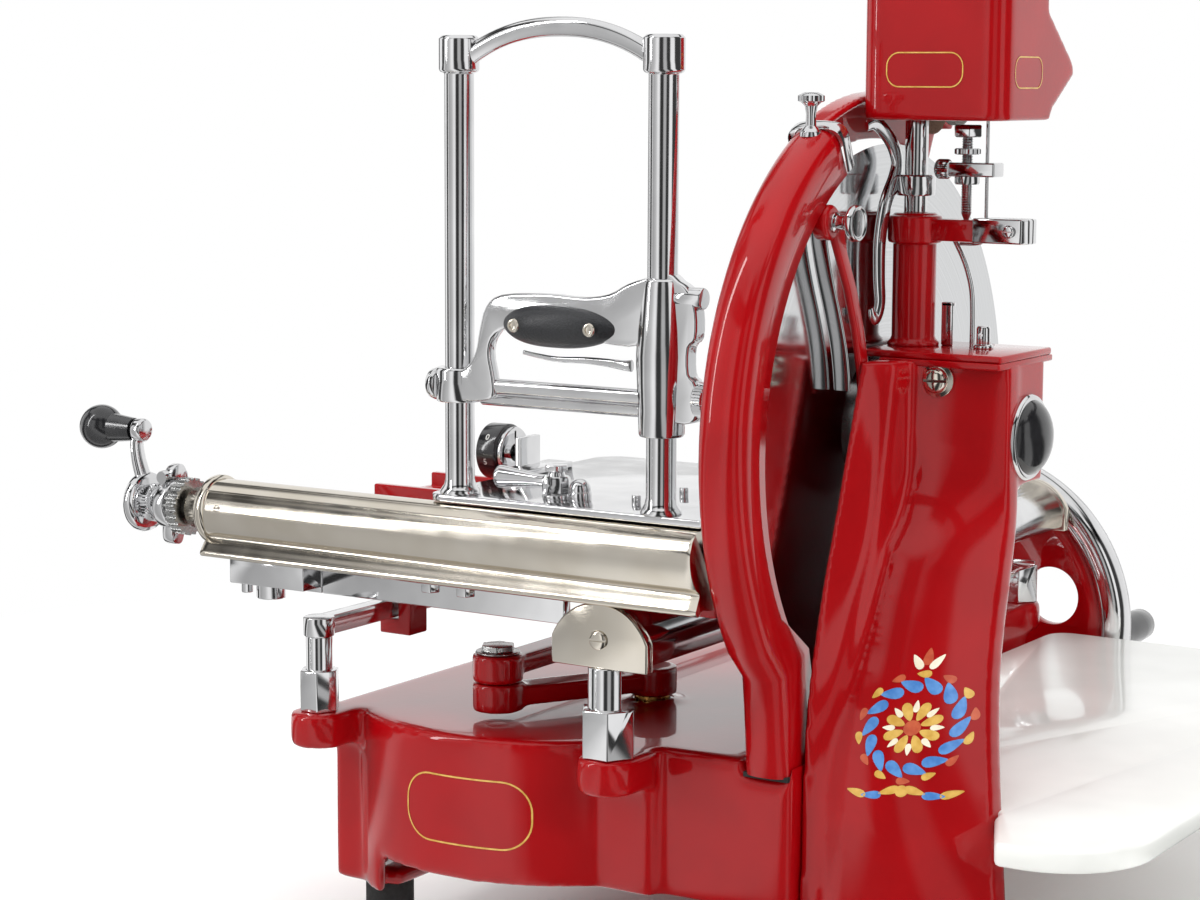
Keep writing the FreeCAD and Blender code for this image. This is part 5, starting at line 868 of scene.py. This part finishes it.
def roundedBox(box):
    # a box whose two near upright edges are round
    (left, right), corner = box["x"], box["corner"]
    outline = [(right, box["far"]), (left, box["far"])]
    for middle, start in ((left + corner, 180), (right - corner, 270)):
        for k in range(9):
            a = math.radians(start + 90 * k / 8)
            outline.append((middle + corner * math.cos(a), box["near"] + corner + corner * math.sin(a)))
    return slab(outline, *box["z"], "Z")


hoodShell = cut(roundedBox(hood), slab(hood["side"], 0, 110, "X"), operation="INTERSECT")
recast(hoodShell, hood["voxel"], hood["passes"])
cut(hoodShell, roundedBox(hood["hollow"]), slab(hood["mouth"], 10, 100, "X"))
finished(hoodShell, "sharpener_hood", smooth=60)
print("hood:", len(hoodShell.data.polygons), "faces")

# bearing dome: black bowl inside a bright rim
dome = {"place": (104, 0, 366), "radius": 25, "depth": 15,
        "rim": [(24, 0), (27.6, 0), (27.8, 1.6), (26.6, 3.4), (24, 3.8)]}
rim = turned(dome["rim"], dome["place"], "X", 80, 0.3)
finished(rim, "bearing_dome", "domeRim", slot="chrome", stands=False)
bend = [math.radians(10 * k) for k in range(9)]
bowl = [(dome["radius"] * math.cos(a), dome["depth"] * math.sin(a)) for a in bend]
finished(turned([(0, 0), *bowl, (0, dome["depth"])], dome["place"], "X", 80), "bearing_dome", smooth=60)

# screws on the column's head and the rail caps: place, radius, height, side, dome, flange
heads = [
    slotted((61, -43, 404), 8.2, 9, -1, 1.2, 11.2), slotted((36, -46, 408), 2.8, 2.4, -1, 1.0),
    slotted((-92, -202, 246), 6.2, 3.0, -1, 0.8), slotted((-92, 459, 246), 6.2, 3.0, 1, 0.8),
]
finished(together(*heads), "body_screws", slot="nickel")

# flywheel: bright dished rim, stepped red web with round windows, handle on its spindle
wheel = {
    "x": -151, "z": 145, "windows": 5, "windowRadius": 24, "circle": 78, "handle": (-39.8, 0, 131.4),
    "rim": [(117, 474), (121, 468), (126, 464.6), (132, 464), (137, 466), (140, 471), (140, 486), (137, 491),
            (130, 492), (122, 489), (117, 483)],
    "web": [(8, 470), (22, 468), (27, 469), (29, 473), (48, 474), (104, 472), (108, 470.5), (112, 470.5),
            (118.5, 474), (118.5, 483), (104, 483), (48, 484), (29, 490), (27, 496), (22, 498), (8, 498)],
    "spindle": [(0, 478), (7, 478), (7, 494), (4, 495), (4, 594), (0, 594)],
    "grip": [(0, 496), (9, 496), (11, 498), (11.5, 506), (10.6, 516), (12.4, 540), (13.9, 562), (13.2, 580),
             (9, 590), (0, 592)],
}
hubPlace = (wheel["x"], 0, wheel["z"])
finished(turned(wheel["rim"], hubPlace, "Y", 128), "flywheel", "flywheelRim", slot="chrome", smooth=50,
         stands=False)
web = turned(wheel["web"], hubPlace, "Y", 128, 0.8)
window = [(0, 440), (wheel["windowRadius"], 440), (wheel["windowRadius"], 520), (0, 520)]
holes = []
for k in range(wheel["windows"]):
    a = math.radians(90 + 360 / wheel["windows"] * k)
    x, z = wheel["x"] + wheel["circle"] * math.cos(a), wheel["z"] + wheel["circle"] * math.sin(a)
    holes.append(turned(window, (x, 0, z), "Y", 48))
finished(soften(cut(web, *holes), 0.8, 2, 40), "flywheel", "flywheelWeb")
finished(turned(wheel["spindle"], wheel["handle"], "Y", 40), "flywheel", "handleSpindle", slot="chrome",
         stands=False)
finished(turned(wheel["grip"], wheel["handle"], "Y", 56), "handle_grip", smooth=60)

# blade, finely stepped so that its rim is round, and its face plate
knife = {
    "disc": ([(8, -1.5), (60, -1.5), (150, 0.2), (176, 0.6), (185, 1.3), (185, 1.5), (60, 1.5), (8, 1.5)],
             (0, 0, 366), "X", 180),
    "plate": ([(0, -6.5), (30, -6.5), (41, -5.5), (44, -3), (44, -1.5), (0, -1.5)], (0, 0, 366), "X", 96),
}
finished(turned(*knife["disc"]), "blade", "bladeDisc", smooth=30)
finished(turned(*knife["plate"]), "blade_face_plate", smooth=40)
print("head, flywheel and blade")

# feet: turned rubber bosses
feet = {
    "places": ((-303, -138), (-303, 398), (-102, 398), (112, -100)),
    "profile": [(0, 0), (16, 0), (18.4, 1.5), (19, 4), (19, 14), (17.4, 16), (16.6, 20), (16.6, 45.9),
                (0, 45.9)],
}
bosses = [turned(feet["profile"], (x, y, 0), "Z", 48, 0.5) for x, y in feet["places"]]
finished(together(*bosses), "rubber_feet")

# what is left keeps its solid's shape, with edges broken as they are on the real castings and bars
castNodes = {"crank_arm": (1.7, 8), "connecting_rod": (1.7, 8), "rear_guard": (1.7, 8)}
for node, (voxel, passes) in castNodes.items():
    finished(recast(cadCopy(node), voxel, passes), node, smooth=60)
softNodes = {
    "main_rail": 0.8, "rail_end_caps": 1.4, "guide_rail": 0.8, "rail_posts": 0.8, "carriage_plate": 1.2,
    "carriage_pins": 0.6, "front_crossbar": 1.0, "guide_roller": 0.8, "apron_brackets": 0.8,
    "product_table": 1.2, "table_slides": 0.6, "table_fittings": 0.5, "crank_pin": 0.8,
    "sharpener_shaft": 0.5, "grinding_stone": 0.6, "honing_stone": 0.5, "feed_nut": 0.5,
}
for node, width in softNodes.items():
    finished(soften(cadCopy(node), width), node)
print("softened:", len(softNodes) + len(castNodes))

# slice tray: it ends at the column's side, whose front runs down past it
tray = {
    "edge": 3.0, "notch": ([(-80, -175), (166, -175), (134, -104), (131, -90), (-80, -90)], 100, 170, "Z"),
}
sheet = cut(cadCopy("slice_tray"), slab(*tray["notch"]))
finished(soften(sheet, tray["edge"]), "slice_tray")

# sharpener pillar: turned sleeve on two lid plates, with a tab that ends in a split bright clamp
pillar = {
    "post": (turned, [(8, 421), (17, 421), (17, 423), (15, 425), (14.2, 427), (14.2, 487), (17.2, 488),
                      (17.8, 490), (17.8, 503), (17, 505), (14.4, 505.6), (14, 506.4), (12.8, 507), (8, 507)],
             (22, 0, 0), "Z", 72, 0.5),
    "tab": (slab, [(24, -9), (70, -8), (70, 10), (24, 10)], 489.5, 503.5, "Z", 1.4, 3),
    "lid": (slab, [(7, -44), (104, -44), (104, 36), (7, 36)], 416.2, 421, "Z", 1.5, 3),
    "step": (slab, [(20, -46), (104, -46), (104, 38), (20, 38)], 412, 416.4, "Z", 1.2, 3),
}
finished(built(pillar), "sharpener_pillar")
tab = {
    "end": ([(66, -9), (100, -9), (104, -5), (104, 7), (100, 11), (66, 11)], 489, 505, "Z", 1.4, 3),
    "slit": ((84, 110), (0.2, 1.8), (480, 515)), "screw": ((92, -9, 497), 4.2, 3.4, -1, 0.6),
}
clampEnd = together(cut(slab(*tab["end"]), bar(*tab["slit"])), slotted(*tab["screw"]))
finished(clampEnd, "sharpener_pillar", "tabClamp", slot="chrome", stands=False)

# stop spindle: a threaded stem with its nuts in a cross block, set by a side thumbscrew
stop = {
    "stem": (threaded, (58, 0, 0), 3.6, 507.5, 560, 1.6, 0.55),
    "tip": (turned, [(0, 503.2), (1.6, 503.4), (3.4, 507.5), (0, 507.6)], (58, 0, 0), "Z", 32),
    "nut": (turned, [(0, 556), (9, 556), (9.6, 557), (9.6, 563), (9, 564), (0, 564)], (58, 0, 0),
            "Z", 6, 0.5),
    "ring": (knurled, (58, 0, 545), "Z", 8.4, 4, 30, 0.6, 0.3),
    "block": (bar, (48, 80), (-8, 8), (531, 540), 1.2, 3),
    "sleeve": (turned, [(0, 526), (7.4, 526), (8, 527), (8, 531), (0, 531)], (58, 0, 0), "Z", 40),
    "thumb": (knurled, (46, 0, 535.5), "X", 6.4, -9, 26, 0.5, -0.6),
}
finished(built(stop), "hood_fittings", "stopSpindle", stands=False)
stubs = [turned([(0, low), (5, low), (5, high), (0, high)], (0, y, z), "X", 32, 0.5)
         for low, high, y, z in ((9, 22, 32, 579), (26, 101, 26, 581))]
finished(together(*stubs), "sharpener_spindles", "stoneSpindles")

# hood fittings: a long bright finger hook that curls at both ends, its hub on the shaft, a bent wire
hook = {
    "x": 11, "thin": 2.0, "grow": 5.2, "power": 0.7,
    "path": [(-50, 563), (-40, 565), (-28, 561), (-14, 552), (-6, 540), (-10, 528), (-22, 512), (-29, 490),
             (-29, 466), (-27, 450), (-31, 441), (-37, 441), (-40, 447)],
    "hub": ([(7.7, 518), (12, 518), (12.6, 519.5), (12.6, 530), (12, 531.5), (7.7, 531.5)],
            (22, 0, 0), "Z", 48, 0.3),
    "wire": [(66, 13, 568), (66, 13, 530), (66, 13, 497), (65, 13, 490), (60, 13, 487.4), (48, 13, 487)],
}
path = eased([(hook["x"], y, z) for y, z in hook["path"]], 4)
bows = [math.sin(math.pi * min(1, (k + 2) / (len(path) + 2))) ** hook["power"] for k in range(len(path))]
lever = swept(path, [hook["thin"] + hook["grow"] * bow for bow in bows], 20, (1, 0, 0), 0.42)
wire = swept(eased(hook["wire"], 5), 1.2, 10, (0, 1, 0))
finished(together(lever, turned(*hook["hub"]), wire), "hood_fittings", smooth=50)

# fittings on the head: curved rod, clip and drilled pin on its foot
pin = {
    "shape": ([(0, 421), (4.6, 421), (4.6, 434), (3.8, 435.6), (0, 435.8)], (72, 0, 0), "Z", 32, 0.4),
    "hole": ([(0, -10), (1.4, -10), (1.4, 10), (0, 10)], (72, 0, 430), "Y", 20),
}
headParts = {
    "rod": (swept, eased([(54, 22, 420), (54, 22, 440), (53, 22, 456), (50, 22, 468), (46, 22, 478),
                          (40, 22, 489)], 4), 1.8, 12, (0, 1, 0)),
    "clip": (bar, (38, 46), (8, 10.4), (421, 449), 0.6),
    "clipHook": (bar, (38, 46), (8, 14), (446, 449), 0.8),
    "foot": (turned, [(0, 421), (6.6, 421), (6.6, 423), (5.4, 424), (0, 424)], (72, 0, 0), "Z", 32, 0.3),
}
drilled = cut(turned(*pin["shape"]), turned(*pin["hole"]))
finished(together(built(headParts), drilled), "column_fittings")
print("sharpener and head fittings")

# guard fittings: clip band with its small thumbscrew, large thumbscrew on the boss, gasket under the foot
clip = {
    "turn": 117.2,
    "path": [(-16, 193), (-16.6, 205), (-16.6, 216), (-13, 221.4), (-6, 223), (2, 223.4), (10, 223),
             (17, 221.4), (20.6, 216), (20.6, 205), (20, 193)],  # X and distance from the blade's axis
}
thumbs = {
    "nut": (turned, [(0, 557), (7, 557), (7, 560), (5, 562.5), (3.4, 564), (3.1, 571), (4, 576), (6.6, 578.4),
                     (0, 578.6)], (2, -108, 0), "Z", 40, 0.4),
    "head": (knurled, (2, -108, 578.4), "Z", 8.3, 4.6, 30, 0.5, 1.4),
    "stem": (turned, [(0, 0), (6.4, 0), (6.4, 3), (4.6, 4), (4.6, 9), (5.4, 9.6), (5.4, 12.6), (4.4, 13.4),
                      (0, 13.4)], (20, -112, 505), "X", 40, 0.4),
    "disc": (turned, [(0, 13), (9.6, 13), (11.2, 14.2), (11.6, 16), (11, 18.4), (9.8, 19), (8.6, 18),
                      (0, 18.2)], (20, -112, 505), "X", 56, 0.4),
}
cosine, sine = math.cos(math.radians(clip["turn"])), math.sin(math.radians(clip["turn"]))
route = [(x, cosine * r, guard["axisHeight"] + sine * r) for x, r in eased(clip["path"], 3)]
band = swept(route, 0.9, 14, (0, -sine, cosine), 5.6)
finished(together(band, built(thumbs)), "guard_fittings", smooth=40)
gasket = bar((-14, 18), (-156, -122), (160, 163.5), 0.6)
finished(gasket, "guard_fittings", "guardGasket", slot="rubber_black", stands=False)

# slice deflector: a bright curved strip that hangs from the boss beside the blade
deflector = {
    "x": 9, "half": 1.3, "depth": 4.6,
    "path": [(-110, 503), (-106.5, 488), (-99, 468), (-88, 444), (-80, 424), (-76, 408), (-74.5, 397)],
}
path = eased([(deflector["x"], y, z) for y, z in deflector["path"]], 4)
strip = swept(path, deflector["half"], 20, (1, 0, 0), deflector["depth"])
finished(strip, "slice_deflector", smooth=60)

# thickness dial: black drum with white figures, bright slotted face, black knob
dial = {
    "y": -68, "z": 337, "radius": 19.4, "x": -258, "slotReach": 12,
    "drum": [(0, -266), (18.4, -266), (19.4, -265), (19.4, -251), (18.4, -250), (0, -250)],
    "face": [(6, -250), (17, -250), (17.6, -249), (17.6, -246.4), (16.6, -245.6), (6, -245.6)],
    "figures": ("0", "5", "10", "15", "20", "25"), "size": 0.0062, "first": 150, "apart": 52, "lift": 0.12,
}
centre = (0, dial["y"], dial["z"])
knob = knurled((-272, dial["y"], dial["z"]), "X", 10, 6.5, 24, 0.8, 0.3)
drum = turned(dial["drum"], centre, "X", 72, 0.4)
finished(together(drum, knob), "thickness_dial", smooth=40)
slots = []
for middle in (dial["z"] - dial["slotReach"], dial["z"] + dial["slotReach"]):
    slots.append(bar((-251, -244), (dial["y"] - 1, dial["y"] + 1), (middle - 3, middle + 3), 0.3))
face = cut(turned(dial["face"], centre, "X", 72, 0.3), *slots)
finished(face, "thickness_dial", "dialFace", slot="chrome", stands=False)
figures = []
reach = (dial["radius"] + dial["lift"]) / 1000
for index, text in enumerate(dial["figures"]):
    deselect()
    bpy.ops.object.text_add(location=(0, 0, 0))
    figure = bpy.context.object
    figure.data.body = text
    figure.data.size = dial["size"]
    figure.data.align_x = "CENTER"
    figure.data.resolution_u = 3
    bpy.ops.object.convert(target="MESH")
    figure = bpy.context.object
    start = math.radians(dial["first"] + dial["apart"] * index)
    for vert in figure.data.vertices:
        turn = start - vert.co.y / reach
        vert.co = spot(dial["x"], dial["y"], dial["z"]) + Vector((vert.co.x, reach * math.cos(turn),
                                                                  reach * math.sin(turn)))
    figures.append(figure)
finished(together(*figures), "thickness_dial", "dialFigures", surface=figurePaint, stands=False)

# clamp lever: a cone handle in a fluted hub with a dome nut
clamp = {
    "cone": (turned, [(0, -193), (6, -193), (7.4, -191.6), (7.2, -189), (4, -163), (3.8, -154), (0, -154)],
             (0, -165, 336.5), "X", 48, 0.5),
    "hub": (knurled, (-148, -165, 328.7), "Z", 9.4, 11.6, 9, 1.3, 0.6),
}
bend = [math.radians(90 - 12 * k) for k in range(1, 8)]
nut = [(0, 345.8), *[(5.6 * math.cos(a), 341 + 4.8 * math.sin(a)) for a in bend], (6.2, 340), (0, 340)]
domeNut = turned(nut, (-148, -165, 0), "Z", 40)
finished(together(built(clamp), domeNut), "clamp_lever", smooth=40)
print("guard fittings, dial and lever")


# painted ornaments: a flower ring on the column and gold lines, laid on the enamel
def leaf(u, v, length, width, angle, taper=0.5):
    # a flat petal, its point turned to angle
    deselect()
    bpy.ops.mesh.primitive_circle_add(vertices=18, radius=1, fill_type="TRIFAN")
    piece = bpy.context.object
    cosine, sine = math.cos(math.radians(angle)), math.sin(math.radians(angle))
    for vert in piece.data.vertices:
        along = vert.co.x * length / 2
        across = vert.co.y * width / 2 * (1 - taper * vert.co.x)
        vert.co = Vector((u + along * cosine - across * sine, v + along * sine + across * cosine, 0))
    return piece


def stadium(u, v, halfU, halfV, line, corner):
    # a thin line round a plate with round ends
    rings = []
    for reach in (corner, corner - line):
        ring = []
        for su, sv, start in ((1, 1, 0), (-1, 1, 90), (-1, -1, 180), (1, -1, 270)):
            for k in range(11):
                a = math.radians(start + 9 * k)
                ring.append(Vector((u + su * (halfU - corner) + reach * math.cos(a),
                                    v + sv * (halfV - corner) + reach * math.sin(a), 0)))
        rings.append(ring)
    count = len(rings[0])
    piece, mesh = startCircle(2 * count, "NOTHING")
    bmesh.ops.delete(mesh, geom=list(mesh.edges), context="EDGES_FACES")
    outside, inside = ([mesh.verts.new(point) for point in ring] for ring in rings)
    for k in range(count):
        mesh.faces.new((outside[k], outside[(k + 1) % count], inside[(k + 1) % count], inside[k]))
    bmesh.ops.delete(mesh, geom=[vert for vert in mesh.verts if not vert.link_faces], context="VERTS")
    bmesh.update_edit_mesh(piece.data)
    bpy.ops.mesh.select_all(action="SELECT")
    bpy.ops.mesh.subdivide(number_cuts=9)
    bpy.ops.object.mode_set(mode="OBJECT")
    return piece


def laidOn(piece, target, axis, start, name, node, surface):
    # projects flat artwork along an axis on to a casting, a coat of paint above it
    for vert in piece.data.vertices:
        u, v = vert.co.x, vert.co.y
        vert.co = spot(u, start, v) if axis == "Y" else spot(start, u, v)
    applied(piece, "SHRINKWRAP", target=target, wrap_method="PROJECT", use_project_x=axis == "X",
            use_project_y=axis == "Y", use_positive_direction=True, use_negative_direction=True,
            offset=0.00025, wrap_mode="ABOVE_SURFACE")
    return finished(piece, node, name, smooth=60, surface=surface, stands=False)


art = {
    "x": 83, "z": 196, "petals": 8, "wreath": 14,
    "band": ((7, -37, -18), (17, -40, -4), (26, -39, 14)),
    "lines": [  # middle, half sizes, line and corner; then what it is laid on, its axis and start
        ((-197, 120, 46.5, 23, 1.1, 20), base, "Y", -230, "baseGoldLine", "base_casting"),
        ((51.5, 598.5, 26.5, 11, 0.8, 9), hoodShell, "Y", -70, "hoodGoldLine", "sharpener_hood"),
        ((-14, 597, 21, 10, 0.8, 8), hoodShell, "X", 125, "hoodSideGoldLine", "sharpener_hood"),
    ],
}
leaves = {key: [] for key in paints}


def petal(key, place, size, angle, taper=0.5):
    leaves[key].append(leaf(art["x"] + place[0], art["z"] + place[1], *size, angle, taper))


def polar(across, up, degrees):
    return across * math.cos(math.radians(degrees)), up * math.sin(math.radians(degrees))


for k in range(art["petals"]):
    a = 360 / art["petals"] * (k + 0.5)
    petal("gold", polar(10, 10, a), (11, 5.4), a, -0.3)
    petal("cream", polar(12.5, 12.5, a + 22.5), (7, 3), a + 22.5)
petal("rust", (0, 0), (9, 9), 0, 0)
for k in range(art["wreath"]):
    a = 360 / art["wreath"] * k
    petal("blue", polar(23.5, 25, a), (13, 6), a + 58)
    petal("gold" if k % 2 else "rust", polar(29.5, 31, a + 13), (7.5, 4), a + 100)
for sign in (-1, 1):
    for step, (u, v, angle) in enumerate(art["band"]):
        petal("blue" if step % 2 else "gold", (sign * u, v), (12, 4.4), angle if sign > 0 else 180 - angle)
    petal("cream", (sign * 5, 38), (10, 4), 90 - sign * 35)
petal("rust", (0, 41), (10, 4.6), 90)
petal("gold", (0, -37), (7, 7), 0, 0)
for key, group in leaves.items():
    name = "flowerRing" + key.title()
    laidOn(together(*group), columnShell, "Y", -175, name, "column_housing", paints[key])
for shape, target, axis, start, name, node in art["lines"]:
    laidOn(stadium(*shape), target, axis, start, name, node, paints["gold"])
print("ornaments")
